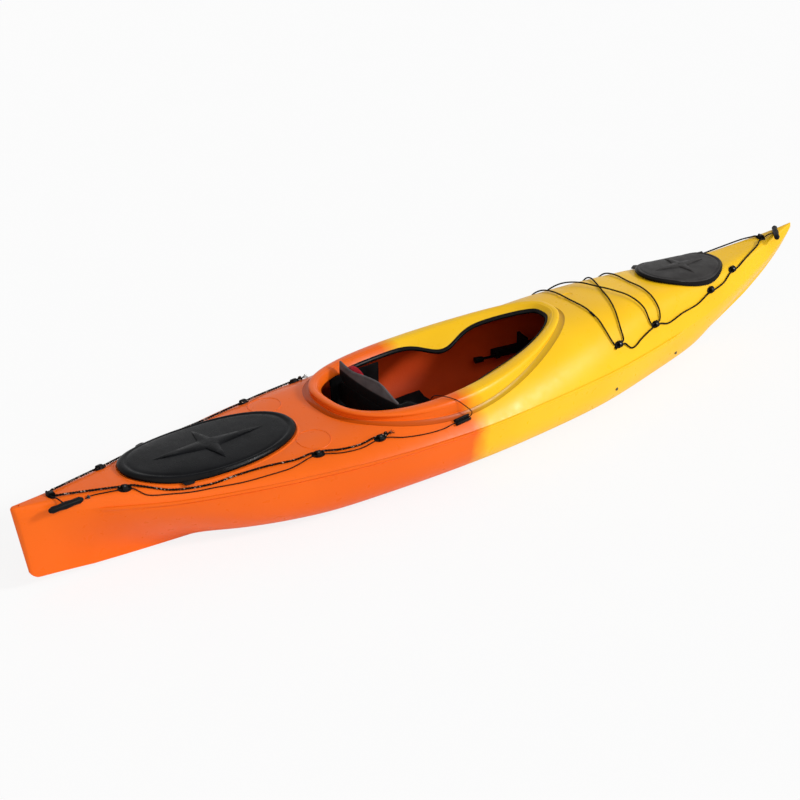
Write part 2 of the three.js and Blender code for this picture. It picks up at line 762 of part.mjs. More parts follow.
function coverSolid(hatch) {
  const turns = ringTurns(hatch_steps);
  const ring = (share, inset, height) => turns.map((turn) => {
    const [px, py] = ovalPlan(hatch, inset)(turn);
    const x = hatch.centre + (px - hatch.centre) * share;
    const y = py * share;
    return [x, y, deckHeight(x, y) + height + cover_crown * (1 - share * share)];
  });
  const underside = cover_rise - cover_wall;
  const rings = [
    ...cover_ring_shares.map((share) => ring(share, 0, cover_rise)),
    ring(1, 0, cover_rise - cover_wall),
    ring(1, 0, cover_skirt_gap),
    ring(1, cover_skirt, cover_skirt_gap),
    ring(1, cover_skirt, underside),
    ...cover_ring_shares.slice(0, -1).reverse().map((share) => ring(share, cover_skirt, underside)),
  ];
  let cover = toSolid(loft(rings));
  hatch.tab_sides.forEach((side) => {
    const turn = Math.PI * hatch.tab_share * side;
    const [x, y] = ovalPlan(hatch, 0)(turn);
    const [nx, ny] = planNormal(ovalPlan(hatch, 0), turn);
    const tab = new THREE.BoxGeometry(tab_length, tab_reach, cover_wall);
    tab.rotateX(-side * tab_droop);
    tab.rotateZ(Math.atan2(-nx, ny));
    const out = tab_reach / 2 - cover_wall;
    tab.translate(x + nx * out, y + ny * out, deckHeight(x, y) + cover_rise / 2);
    cover = cover.add(toSolid(tab));
  });
  rib_shares.forEach(([degrees, length_share, root_share]) => {
    cover = cover.add(coverRib(hatch, THREE.MathUtils.degToRad(degrees), length_share, root_share));
  });
  return cover.subtract(clear_outside);
}

addPart('stern_hatch_cover', toGeometry(coverSolid(stern_hatch)), black_rubber);
addPart('bow_hatch_cover', toGeometry(coverSolid(bow_hatch)), grey_rubber);

// Black edge trim: a grooved strip over the cockpit edge, open behind the backrest.

const trim_open_sections = 7;
const trim_reach = 11;
const trim_height = 12;

function trimSection(turn) {
  // The cockpit edge is at the eighth to tenth corners of the coaming's section.
  const edge = coamingSection(turn).slice(7, 10);
  const [inner, upper, lower] = edge.map((corner) => new THREE.Vector3(...corner));
  const [nx, ny] = planNormal(coamingPlan, turn);
  const slope = inner.sub(upper).normalize();
  const middle = upper.clone().add(lower).multiplyScalar(0.5);
  const normal = new THREE.Vector3().crossVectors(new THREE.Vector3(-ny, nx, 0), slope).normalize();
  if (normal.z < 0) normal.negate();
  const half = trim_height / 2;
  const rim = trim_reach * 0.55;
  const profile = [
    [rim, half], [-rim * 0.4, half], [-rim, half * 0.4],
    [-rim, -half * 0.4], [-rim * 0.4, -half], [rim, -half],
  ];
  return profile.map(([along, up]) => {
    const point = middle.clone().addScaledVector(slope, along).addScaledVector(normal, up);
    return point.toArray();
  });
}

function trimSolid() {
  const half_steps = coaming_steps / 2;
  const turns = ringTurns(coaming_steps).slice(half_steps + trim_open_sections);
  turns.push(...ringTurns(coaming_steps).slice(0, half_steps - trim_open_sections));
  return toSolid(loft(turns.map(trimSection))).subtract(coamingSolid(hull_clearance));
}

addPart('cockpit_edge_trim', toGeometry(trimSolid()), black_rubber);

// Bulkhead: a slab cut by the hollow of the hull.

function bulkhead() {
  const slab = new THREE.BoxGeometry(bulkhead_thickness, hull_beam + overrun, hull_height * 2);
  slab.translate(bulkhead_place, 0, hull_height / 2);
  return toGeometry(toSolid(slab).intersect(clear_cavity));
}

addPart('seat_bulkhead', bulkhead(), black_foam);

// Seat: a dished moulding that stands on the hull bottom, with a cushion.

const seat_spans = 8;
const seat_columns = 10;

function seatTop(along_share, across_share) {
  const front = Math.max(0, (along_share - 0.45) / 0.55) ** 1.5;
  const rear = Math.max(0, (0.3 - along_share) / 0.3) ** 2 * 0.35;
  const side = Math.abs(across_share) ** 2.6;
  return seat_low + seat_lift * Math.max(front, rear, side * 0.9, front * 0.6 + side * 0.6);
}

function seatBlock(inset, drop, low) {
  const outlines = [];
  for (let i = 0; i <= seat_spans; i += 1) {
    const along = i / seat_spans;
    const x = seat_rear + inset + (seat_front - seat_rear - 2 * inset) * along;
    const corner = 1 - 0.14 * Math.abs(2 * along - 1) ** 4;
    const half = (seat_width / 2) * corner - inset;
    const outline = [];
    for (let j = 0; j <= seat_columns; j += 1) {
      const across = 1 - (2 * j) / seat_columns;
      outline.push([x, half * across, seatTop(along, across) - drop]);
    }
    outline.push([x, -half, low], [x, half, low]);
    outlines.push(outline);
  }
  return toSolid(loft(outlines));
}

function seatPan() {
  const shell = seatBlock(0, 0, -overrun).subtract(seatBlock(seat_wall, seat_wall, -2 * overrun));
  return shell.intersect(clear_cavity);
}

addPart('seat_pan', toGeometry(seatPan()), black_plastic);

function seatCushion() {
  const outlines = [];
  const inset = seat_wall * 3;
  const spans = seat_spans + 2;
  for (let i = 0; i <= spans; i += 1) {
    const along = 0.06 + (0.86 * i) / spans;
    const x = seat_rear + (seat_front - seat_rear) * along;
    const end = Math.min(1, Math.sqrt(1 - Math.abs((2 * i) / spans - 1) ** 4) + 0.12);
    const half = (seat_width / 2 - inset) * (0.8 + 0.2 * end);
    const upper = [];
    const lower = [];
    for (let j = 0; j <= seat_columns; j += 1) {
      const across = 1 - (2 * j) / seat_columns;
      const across_share = (half * across) / (seat_width / 2);
      const rest = seatTop(along, across_share) - seat_wall;
      const edge = Math.sqrt(Math.max(0, 1 - Math.abs(across) ** 3)) * end;
      const swell = (cushion_thickness + cushion_crown * edge) * Math.min(1, edge + 0.3);
      upper.push([x, half * across, rest + seat_wall + swell]);
      lower.unshift([x, half * across, rest]);
    }
    outlines.push([...upper, ...lower]);
  }
  return toSolid(loft(outlines)).subtract(seatBlock(0, -fit_gap, -overrun));
}

addPart('seat_cushion', toGeometry(seatCushion()), black_fabric);

// Hangers: side plates from the seat to the coaming, which carry the backrest pins.

const pin_place = backrest_place + pin_setback;
const hanger_offset = seat_width / 2 + fit_gap + hanger_thickness / 2;

function hangerOutline() {
  const low = seat_low + seat_lift * 0.2;
  const top_front = coamingHeight(hanger_front) - cockpit_drop - hull_wall - trim_height;
  const top_rear = coamingHeight(hanger_rear) - cockpit_drop - hull_wall - trim_height;
  const shape = new THREE.Shape();
  shape.moveTo(hanger_rear + hanger_thickness * 2, low);
  shape.lineTo(hanger_front - hanger_thickness * 2, low);
  shape.quadraticCurveTo(hanger_front + hanger_thickness * 2, (low + top_front) / 2, hanger_front, top_front);
  shape.lineTo(hanger_rear, top_rear);
  const rear_low = hanger_rear + hanger_thickness * 2;
  shape.quadraticCurveTo(rear_low + hanger_thickness, (low + top_rear) / 2, rear_low, low);
  return shape;
}

function hanger(side) {
  const options = { depth: hanger_thickness, bevelEnabled: false, curveSegments: 6 };
  const plate = new THREE.ExtrudeGeometry(hangerOutline(), options);
  plate.rotateX(Math.PI / 2);
  plate.translate(0, side * hanger_offset + hanger_thickness / 2, 0);
  let solid = toSolid(plate);
  const bore = boreTool(pin_radius, hanger_thickness * 4);
  bore.translate(pin_place, side * hanger_offset, pin_level);
  solid = solid.subtract(toSolid(bore));
  return toGeometry(solid);
}

addPart('seat_hanger_port', hanger(1), black_plastic);
addPart('seat_hanger_starboard', hanger(-1), black_plastic);

// Backrest: grey panel, black lower frame with side arms, and a red pad. It tilts on two pins.

const backrest_columns = 14;

function backrestCurve(across) {
  return backrest_place + backrest_wrap * across * across;
}

// The panel's top edge leans up towards starboard: shares of the swing, from starboard to port.
const panel_top_shares = [-0.9, 1, 0.85, 0.1, 0.25];
const panel_top_points = panel_top_shares.map((share, i) => new THREE.Vector2(i, share));
const panel_top_curve = new THREE.SplineCurve(panel_top_points);

// Sheet that follows the backrest's plan curve, with its top and bottom as functions of the share across.
function wrapSheet(half, bottom_at, top_at) {
  const outlines = [];
  for (let j = 0; j <= backrest_columns; j += 1) {
    const across = (2 * j) / backrest_columns - 1;
    const x = backrestCurve((across * half) / (backrest_width / 2));
    const corner = 1 - Math.sqrt(Math.max(0, 1 - Math.abs(across) ** 6));
    const [bottom, top] = [bottom_at(corner), top_at(corner, (across + 1) / 2)];
    outlines.push([
      [x, across * half, bottom], [x + backrest_thickness, across * half, bottom],
      [x + backrest_thickness, across * half, top], [x, across * half, top],
    ]);
  }
  return loft(outlines);
}

function backrestPad() {
  const outlines = [];
  const half = backrest_width / 2 - frame_inset;
  const spans = backrest_columns;
  const middle = backrest_top + pad_rise - pad_height / 2;
  for (let j = 0; j <= spans; j += 1) {
    const across = (2 * j) / spans - 1;
    const swell = Math.max(0.12, Math.sqrt(Math.max(0, 1 - across ** 4)));
    const height = (pad_height / 2) * (0.62 + 0.38 * swell);
    const x = backrestCurve((across * half) / (backrest_width / 2)) + backrest_thickness + fit_gap;
    const outline = [];
    for (let k = 0; k < 12; k += 1) {
      const turn = (2 * Math.PI * k) / 12;
      const up = Math.abs(Math.sin(turn)) ** 0.6 * Math.sign(Math.sin(turn));
      const out = (Math.abs(Math.cos(turn)) ** 0.7 * Math.sign(Math.cos(turn)) + 1) / 2;
      outline.push([x + pad_thickness * swell * out, across * half, middle + height * up]);
    }
    outlines.push(outline);
  }
  return loft(outlines);
}

const panel_bottom = backrest_top - backrest_height;
const frame_top = panel_bottom - fit_gap;
const frame_half = seat_width / 2 - hanger_thickness;
const frame_bottom = pin_level + pin_setback * 1.5;
const arm_offset = seat_width / 2 - hanger_thickness * 1.5;
const pin_offset = seat_width / 2;

function backrestFrame() {
  const bottom_at = (corner) => frame_bottom + frame_corner * 0.2 * corner;
  const top_at = (corner) => frame_top - frame_corner * corner;
  let frame = toSolid(wrapSheet(frame_half, bottom_at, top_at));
  [1, -1].forEach((side) => {
    const arm = new THREE.BoxGeometry(arm_width, hanger_thickness, frame_bottom - pin_level + 2 * arm_width);
    arm.translate(pin_place, side * arm_offset, (frame_bottom + pin_level) / 2);
    const pin = roundTool(pin_radius, hanger_thickness * 3, bore_steps);
    pin.translate(pin_place, side * pin_offset, pin_level);
    frame = frame.add(toSolid(arm)).add(toSolid(pin));
  });
  return toGeometry(frame);
}

function backrestPanel() {
  const bottom_at = (corner) => panel_bottom + panel_corner * corner;
  const top_at = (corner, share) => backrest_top + backrest_top_swing * panel_top_curve.getPoint(share).y;
  return wrapSheet(backrest_width / 2, bottom_at, top_at);
}

addPart('backrest_panel', backrestPanel(), grey_plastic);
addPart('backrest_frame', backrestFrame(), black_plastic);
addPart('backrest_pad', backrestPad(), red_fabric);

// Foot braces: rail, sliding pedal, and the twist rod with its knob, on each side.

// Frame of one brace: x forward along the rail, y inwards from the hull side, at the rail's middle.
function braceFrame(side) {
  const { rear, front, forward, outward } = braceAxes(side);
  const inward = outward.clone().negate();
  const standoff = (rail_rear_standoff + rail_front_standoff) / 2;
  const origin = rear.clone().add(front).multiplyScalar(0.5);
  origin.addScaledVector(inward, hull_wall + standoff + rail_depth / 2);
  const frame = new THREE.Matrix4().makeBasis(forward, inward, forward.clone().cross(inward));
  return frame.setPosition(origin);
}

const rail_front = rail_bolt_spacing / 2 + rail_front_reach;
const rail_rear = rail_front - rail_length;
const slot_half = rail_height / 2 - 2 * rail_wall;

// The rail is a channel that opens towards the paddler, closed by a wall at each end.
function railSolid(side) {
  const [h, d, w] = [rail_height / 2, rail_depth / 2, rail_wall];
  const channel = new THREE.Shape();
  channel.moveTo(-d, -h);
  channel.lineTo(d, -h);
  channel.lineTo(d, -slot_half);
  channel.lineTo(d - w, -slot_half);
  channel.lineTo(d - w, -h + w);
  channel.lineTo(-d + w, -h + w);
  channel.lineTo(-d + w, h - w);
  channel.lineTo(d - w, h - w);
  channel.lineTo(d - w, slot_half);
  channel.lineTo(d, slot_half);
  channel.lineTo(d, h);
  channel.lineTo(-d, h);
  channel.closePath();
  const rail = new THREE.ExtrudeGeometry(channel, { depth: rail_length, bevelEnabled: false });
  rail.rotateX(Math.PI / 2);
  rail.rotateZ(Math.PI / 2);
  rail.translate(rail_rear, 0, 0);
  let solid = toSolid(rail);
  [rail_rear + w / 2, rail_front - w / 2].forEach((x) => {
    const end = new THREE.BoxGeometry(w, rail_depth, rail_height);
    end.translate(x, 0, 0);
    solid = solid.add(toSolid(end));
  });
  solid = solid.transform(braceFrame(side).elements);
  const { rear, front, outward } = braceAxes(side);
  [rear, front].forEach((place) => {
    const hole = boltTool(place, outward, bolt_radius + bolt_clearance, 2 * overrun, 0);
    solid = solid.subtract(toSolid(hole));
  });
  return solid;
}

// Bolt through the hull side, with a spacer that keeps the rail off the wall.
function railBolt(place, outward, standoff) {
  const reach = hull_wall + standoff + rail_wall - slide_gap;
  let bolt = toSolid(boltTool(place, outward, bolt_radius, reach, fit_gap + bolt_head_height / 2));
  const head = boltTool(place, outward, bolt_head_radius, bolt_head_height, bolt_head_height + fit_gap);
  bolt = bolt.add(toSolid(head).subtract(clear_outside));
  const spacer = boltTool(place, outward, bolt_head_radius, hull_wall + standoff - slide_gap, 0);
  return bolt.add(toSolid(spacer).intersect(clear_cavity));
}

// The pedal's slider fills the channel with a small clearance; its foot plate stands square to it.
const carriage_face = rail_depth / 2 + slide_gap + carriage_depth;
const rod_line = carriage_face + rod_radius + lug_wall / 2;

function pedalSolid(rise) {
  const inner = rail_depth - 2 * rail_wall - 2 * slide_gap;
  const slider = new THREE.BoxGeometry(pedal_length, inner, rail_height - 2 * rail_wall - 2 * slide_gap);
  const neck = new THREE.BoxGeometry(pedal_length, rail_depth, 2 * slot_half - 2 * slide_gap);
  neck.translate(0, rail_depth / 2, 0);
  const carriage = new THREE.BoxGeometry(pedal_length, carriage_depth, rail_height);
  carriage.translate(0, carriage_face - carriage_depth / 2, 0);
  const plate = new THREE.BoxGeometry(pedal_thickness, pedal_width, pedal_height);
  const plate_place = carriage_face - carriage_depth / 2 + pedal_width / 2;
  plate.translate(pedal_length / 2 - pedal_thickness / 2, plate_place, rise * pedal_rise);
  const lug_depth = 2 * rod_radius + 1.5 * lug_wall;
  const lug = new THREE.BoxGeometry(lug_length, lug_depth, 2 * rod_radius + 2 * lug_wall);
  lug.translate(-pedal_length / 2 + lug_length / 2, carriage_face - lug_wall / 2 + lug_depth / 2, 0);
  const bore = boreTool(rod_radius, lug_length * 4);
  bore.rotateZ(Math.PI / 2);
  bore.translate(-pedal_length / 2, rod_line, 0);
  const body = [neck, carriage, plate, lug].reduce((sum, piece) => sum.add(toSolid(piece)), toSolid(slider));
  return body.subtract(toSolid(bore));
}

// Twist rod: it turns in the pedal's lug, and its knob points back to the paddler.
function rodSolid() {
  const rod = roundTool(rod_radius, rod_length + 2 * lug_length, bore_steps);
  rod.rotateZ(Math.PI / 2);
  rod.translate(lug_length - rod_length / 2 - pedal_length / 2, rod_line, 0);
  const knob_place = -pedal_length / 2 - rod_length - knob_length / 2;
  const knob = new THREE.CylinderGeometry(knob_radius, knob_radius * 0.8, knob_length, 10);
  knob.rotateZ(Math.PI / 2);
  knob.translate(knob_place, rod_line, 0);
  const wing = new THREE.BoxGeometry(knob_length * 0.8, knob_radius * 2.7, knob_radius * 0.6);
  wing.translate(knob_place, rod_line, 0);
  return toSolid(rod).add(toSolid(knob)).add(toSolid(wing));
}

function railParts(side, label) {
  const { rear, front, outward } = braceAxes(side);
  addPart(`foot_brace_rail_${label}`, toGeometry(railSolid(side)), black_plastic);
  addPart(`foot_brace_bolt_rear_${label}`, toGeometry(railBolt(rear, outward, rail_rear_standoff)), steel);
  addPart(`foot_brace_bolt_front_${label}`, toGeometry(railBolt(front, outward, rail_front_standoff)), steel);
  const pedal_place = rail_rear + rail_wall + slide_gap + pedal_length / 2;
  const frame = braceFrame(side).multiply(new THREE.Matrix4().makeTranslation(pedal_place, 0, 0));
  addPart(`foot_pedal_${label}`, toGeometry(pedalSolid(-side).transform(frame.elements)), black_plastic);
  addPart(`foot_brace_rod_${label}`, toGeometry(rodSolid().transform(frame.elements)), black_plastic);
}

railParts(1, 'port');
railParts(-1, 'starboard');

// Deck fittings: an oval base with a bridge over two line tunnels, one on each side of the screw.

const tunnel_height = fitting_base + tunnel_radius * Math.cos(Math.PI / 6);

function fittingSolid() {
  const base_shape = new THREE.Shape();
  base_shape.absellipse(0, 0, fitting_length / 2, fitting_width / 2, 0, Math.PI * 2, false);
  const options = { depth: fitting_base * 3, bevelEnabled: false, curveSegments: 6 };
  const base = new THREE.ExtrudeGeometry(base_shape, options);
  base.translate(0, 0, -fitting_base * 2);
  const arch = new THREE.Shape();
  const half = fitting_width / 2;
  arch.moveTo(-half, 0);
  arch.lineTo(half, 0);
  arch.lineTo(half * 0.96, bridge_height * 0.6);
  arch.lineTo(half * 0.6, bridge_height);
  arch.lineTo(-half * 0.6, bridge_height);
  arch.lineTo(-half * 0.96, bridge_height * 0.6);
  arch.closePath();
  const bridge = new THREE.ExtrudeGeometry(arch, { depth: bridge_length, bevelEnabled: false });
  bridge.translate(0, 0, -bridge_length / 2);
  bridge.rotateX(Math.PI / 2);
  bridge.rotateZ(Math.PI / 2);
  let solid = toSolid(base).add(toSolid(bridge));
  [1, -1].forEach((side) => {
    const tunnel = roundTool(tunnel_radius, bridge_length * 2, 6);
    tunnel.rotateY(Math.PI / 6);
    tunnel.rotateZ(Math.PI / 2);
    tunnel.translate(0, side * tunnel_offset, tunnel_height);
    solid = solid.subtract(toSolid(tunnel));
  });
  return solid;
}

const plain_fitting = fittingSolid();

const stern_fitting_place = stern_hatch_rear - stern_fitting_gap;
const stern_end_place = stern_hatch_rear - (stern_hatch_rear + half_length) * stern_end_share;
const bow_end_place = bow_hatch_front + (half_length - bow_hatch_front) * bow_end_share;
const bow_fitting_place = bow_hatch.centre + bow_fitting_advance;
const bow_fitting_share = (bow_hatch.width / 2 + bow_fitting_gap) / half_beam_at(bow_fitting_place);
const foredeck_length = bow_hatch_rear - coaming_front;

// Side fittings, each placed from what it stands beside. The rows hold its name, its place along,
// its share of the half beam there and its turn in degrees.
const fitting_places = [
  ['stern_side_fitting_1', stern_fitting_place, 0.6846, -17],
  ['stern_side_fitting_2', stern_hatch_front - front_fitting_overlap, 0.7843, -12],
  ['stern_side_fitting_3', coaming_rear + rear_deck_fitting_gap, 0.8164, -4],
  ['bow_side_fitting_1', coaming_front + foredeck_length * foredeck_rear_share, 0.8612, 9],
  ['bow_side_fitting_2', coaming_front + foredeck_length * foredeck_front_share, 0.8632, 12],
  ['bow_side_fitting_3', bow_fitting_place, bow_fitting_share, 16],
  ['bow_side_fitting_4', bow_hatch_front + nose_fitting_gap, 0.742, 18],
].map(([name, x, share, turn]) => [name, x, half_beam_at(x) * share, turn]);
const end_fitting_places = [
  ['stern_end_fitting', stern_end_place],
  ['bow_end_fitting', bow_end_place],
];

function fittingFrame(x, y, turn_degrees) {
  const up = deckNormal(x, y);
  const turn = THREE.MathUtils.degToRad(turn_degrees);
  const forward = new THREE.Vector3(Math.cos(turn), Math.sin(turn), 0);
  const origin = new THREE.Vector3(x, y, deckHeight(x, y));
  return frameAt(origin, forward, up);
}

// What stands on the deck ends a small gap above it: the hull's outside is cut away from it.
function onDeck(solid, frame) {
  const placed = solid.transform(frame.elements).subtract(clear_outside);
  const pieces = placed.decompose();
  pieces.sort((a, b) => b.volume() - a.volume());
  return pieces[0];
}

const fitting_frames = {};

function addFitting(name, frame) {
  fitting_frames[name] = frame;
  addPart(name, toGeometry(onDeck(plain_fitting, frame)), black_plastic);
}

fitting_places.forEach(([name, x, y, turn]) => {
  addFitting(`${name}_port`, fittingFrame(x, y, -turn));
  addFitting(`${name}_starboard`, fittingFrame(x, -y, turn));
});
end_fitting_places.forEach(([name, x]) => addFitting(name, fittingFrame(x, 0, 90)));

// Lines. A route is a list of stops: a deck place with a height above the deck, a pass through a
// fitting's tunnel, or a free place in space. Steps are even from stop to stop, so bends get more.

class RouteCurve extends THREE.CatmullRomCurve3 {
  getUtoTmapping(share) {
    return share;
  }
}

const pass_reach = fitting_length / 2 + splice_gap * 2;
const pass_middle = bridge_length / 2 + splice_gap;

// Stops through a fitting: its name, which tunnel (1 or -1) and which way the line runs (1 or -1).
function passStops(name, tunnel, way, radius) {
  return [-pass_reach, -pass_middle, pass_middle, pass_reach].map((along) => {
    const rest = fitting_base + radius + fit_gap;
    const point = new THREE.Vector3(along * way, tunnel * tunnel_offset, rest);
    return point.applyMatrix4(fitting_frames[name]);
  });
}

function deckStop(x, y, lift) {
  const up = deckNormal(x, y);
  return new THREE.Vector3(x, y, deckHeight(x, y)).addScaledVector(up, lift);
}

function lineGeometry(stops, radius, steps_per_stop) {
  const curve = new RouteCurve(stops, false, 'centripetal');
  const section = new THREE.Shape();
  section.absarc(0, 0, radius, 0, Math.PI * 2, false);
  const steps = (stops.length - 1) * steps_per_stop;
  const options = { steps, curveSegments: 4, extrudePath: curve, bevelEnabled: false };
  return new THREE.ExtrudeGeometry(section, options);
}

const line_lift = line_radius + lie_gap;
const end_bend = 12;

function mirrorStops(stops) {
  return stops.map((stop) => new THREE.Vector3(stop.x, -stop.y, stop.z)).reverse();
}

// Round an end fitting: through one tunnel from starboard to port, with a bend on each side.
function endStops(name, tunnel, away) {
  const place = (along, off) => {
    const rest = fitting_base + line_radius + fit_gap;
    const point = new THREE.Vector3(along, tunnel * tunnel_offset, rest);
    point.applyMatrix4(fitting_frames[name]);
    return point.add(new THREE.Vector3(away * off, 0, -off * 0.06));
  };
  const reach = pass_middle;
  return [
    place(-reach - end_bend * 1.1, end_bend * 1.9), place(-reach - end_bend * 0.8, end_bend * 0.55),
    place(-reach - splice_gap, 0), place(0, 0), place(reach + splice_gap, 0),
    place(reach + end_bend * 0.8, end_bend * 0.55), place(reach + end_bend * 1.1, end_bend * 1.9),
  ];
}

// Starboard deck place of a fitting, as [along, across].
function fittingPlace(name) {
  const [, x, y] = fitting_places.find(([label]) => label === name);
  return [x, -y];
}

// Stops from one starboard place to another: each is a share of the way, how far it bows outwards as
// a share of a fitting's width, and how much higher it lies as a share of the lift.
function linkStops(from, to, row_shares, lift) {
  return row_shares.map(([way_share, bow_share, raise_share]) => {
    const x = from[0] + (to[0] - from[0]) * way_share;
    const y = from[1] + (to[1] - from[1]) * way_share;
    return deckStop(x, y - fitting_width * bow_share, lift * (1 + raise_share));
  });
}

// Stops along the starboard side of the stern hatch: each is a share of its half length from its
// middle, and a gap beyond its edge as a share of its half width.
function hatchStops(row_shares, lift) {
  return row_shares.map(([along_share, gap_share]) => {
    const turn = Math.acos(Math.abs(along_share) ** (1 / hatch_squareness) * Math.sign(along_share));
    const [x, y] = ovalPlan(stern_hatch, 0)(turn);
    return deckStop(x, -y - (stern_hatch.width / 2) * gap_share, lift);
  });
}

const stern_line_link_shares = [[0.336, 0.22, 0], [0.672, 0.19, 0]];
const stern_line_hatch_shares = [
  [0.63, 0.52], [0.325, 0.253], [0, 0.142], [-0.337, 0.125], [-0.7, 0.12], [-0.91, 0.18],
];
const stern_line_end_shares = [[0.468, 0.13, 0.5]];
const bow_line_rear_shares = [[0.272, 0.68, 0], [0.592, 0.39, 0]];
const bow_line_hatch_shares = [[0.194, 0.34, 0], [0.462, 0.27, 0], [0.731, 0.29, 0]];
const bow_line_front_shares = [[0.542, 0.29, 0]];
const bow_line_end_shares = [[0.406, 0.43, 0.5], [0.758, 0.62, 0.75]];

function sternPerimeterStops() {
  const [first, second, third] = [1, 2, 3].map((i) => fittingPlace(`stern_side_fitting_${i}`));
  const starboard = [
    ...passStops('stern_side_fitting_3_starboard', 1, -1, line_radius),
    ...linkStops(third, second, stern_line_link_shares, line_lift),
    ...passStops('stern_side_fitting_2_starboard', 1, -1, line_radius),
    ...hatchStops(stern_line_hatch_shares, line_lift),
    ...passStops('stern_side_fitting_1_starboard', 1, -1, line_radius),
    ...linkStops(first, [stern_end_place, 0], stern_line_end_shares, line_lift),
  ];
  return [...starboard, ...endStops('stern_end_fitting', -1, 1), ...mirrorStops(starboard)];
}

function bowPerimeterStops() {
  const [first, second, third, fourth] = [1, 2, 3, 4].map((i) => fittingPlace(`bow_side_fitting_${i}`));
  const starboard = [
    ...passStops('bow_side_fitting_1_starboard', -1, 1, line_radius),
    ...linkStops(first, second, bow_line_rear_shares, line_lift),
    ...passStops('bow_side_fitting_2_starboard', -1, 1, line_radius),
    ...linkStops(second, third, bow_line_hatch_shares, line_lift),
    ...passStops('bow_side_fitting_3_starboard', -1, 1, line_radius),
    ...linkStops(third, fourth, bow_line_front_shares, line_lift),
    ...passStops('bow_side_fitting_4_starboard', -1, 1, line_radius),
    ...linkStops(fourth, [bow_end_place, 0], bow_line_end_shares, line_lift),
  ];
  return [...starboard, ...endStops('bow_end_fitting', 1, -1), ...mirrorStops(starboard)];
}

addPart('stern_perimeter_line', lineGeometry(sternPerimeterStops(), line_radius, 1), black_cord);
addPart('bow_perimeter_line', lineGeometry(bowPerimeterStops(), line_radius, 1), black_cord);

// Foredeck bungee: one loop through four inner tunnels, straight across twice and crossed between.
const bungee_lift = bungee_radius + splice_gap;
const sleeve_length = 26;
const sleeve_wall = 1.6;
const bungee_bend = 40;
const bungee_hump = 8;
const splice_share = 0.75;

// Stops of a strand pulled tight between two deck places: where a straight run between two stops
// would cut into the crown of the deck, both stops are lifted by as much.
function tautStops(start, end, shares, lift_at) {
  const at = (share) => [start[0] + (end[0] - start[0]) * share, start[1] + (end[1] - start[1]) * share];
  const height = (share) => deckHeight(...at(share));
  const cut = (a, b) => {
    const between = [0.25, 0.5, 0.75].map((t) => {
      const share = a + (b - a) * t;
      return height(share) - (height(a) + (height(b) - height(a)) * t);
    });
    return Math.max(0, ...between);
  };
  return shares.map((share, i) => {
    const before = i > 0 ? cut(shares[i - 1], share) : 0;
    const after = i < shares.length - 1 ? cut(share, shares[i + 1]) : 0;
    return deckStop(...at(share), lift_at(share) + Math.max(before, after));
  });
}

const across_shares = [0.06, 0.16, 0.3, 0.5, 0.7, 0.84, 0.94];
const cross_shares = [0.08, 0.2, 0.35, 0.5, 0.65, 0.8, 0.92];

function bungeeStops() {
  const [aft, fore] = [fitting_places[3], fitting_places[4]];
  const [aft_x, fore_x] = [aft[1], fore[1]];
  const [aft_y, fore_y] = [aft[2] - tunnel_offset, fore[2] - tunnel_offset];
  const [aft_bend, fore_bend] = [aft_x - bungee_bend, fore_x + bungee_bend];
  const flat = () => bungee_lift;
  const humped = (share) => bungee_lift + bungee_hump * Math.sin(Math.PI * share);
  const crossing = (side, lift_at) => {
    const start = [aft_x + bungee_bend / 2, side * aft_y];
    const end = [fore_x - bungee_bend / 2, -side * fore_y];
    return tautStops(start, end, cross_shares, lift_at);
  };
  const splice = across_shares.findIndex((share) => share > splice_share);
  const aft_strand = tautStops([aft_bend, aft_y], [aft_bend, -aft_y], across_shares, flat);
  const fore_strand = tautStops([fore_bend, fore_y], [fore_bend, -fore_y], across_shares, flat);
  const meeting = aft_strand[splice].clone().lerp(aft_strand[splice - 1], 0.5);
  const parting = new THREE.Vector3(0, splice_gap, 0);
  return [
    meeting.clone().sub(parting),
    ...aft_strand.slice(splice),
    ...passStops('bow_side_fitting_1_starboard', 1, 1, bungee_radius),
    ...crossing(-1, flat),
    ...passStops('bow_side_fitting_2_port', -1, 1, bungee_radius),
    ...fore_strand,
    ...passStops('bow_side_fitting_2_starboard', 1, -1, bungee_radius),
    ...crossing(1, humped).reverse(),
    ...passStops('bow_side_fitting_1_port', -1, -1, bungee_radius),
    ...aft_strand.slice(0, splice),
    meeting.clone().add(parting),
  ];
}

addPart('foredeck_bungee', lineGeometry(bungeeStops(), bungee_radius, 1), black_cord);

// Sleeve over the two ends of the bungee.
function bungeeSleeve() {
  const stops = bungeeStops();
  const [start, end] = [stops[0], stops[stops.length - 1]];
  const way = stops[stops.length - 2].clone().sub(stops[1]).normalize();
  const middle = start.clone().lerp(end, 0.5);
  const turn = new THREE.Quaternion().setFromUnitVectors(new THREE.Vector3(0, 1, 0), way);
  const [outer, inner] = [
    roundTool(bungee_radius + fit_gap + sleeve_wall, sleeve_length, bore_steps / 2),
    boreTool(bungee_radius + fit_gap, sleeve_length * 2),
  ].map((tool) => toSolid(tool.applyQuaternion(turn).translate(middle.x, middle.y, middle.z)));
  return outer.subtract(inner).subtract(clear_outside);
}

addPart('bungee_sleeve', toGeometry(bungeeSleeve()), black_plastic);

// Cam cleat beside the cockpit, and a small eye near the stern, for the thin starboard line.
const cleat_setback = 143;
const cleat_beam_share = 0.9;
const cleat_length = 62;
const cleat_width = 24;
const cleat_height = 15;
const cleat_groove = 6;
const cleat_floor = 5;
const eye_way_share = 0.5405;
const eye_beam_share = 0.78;
const eye_radius = 5.5;
const eye_wire = 1.8;

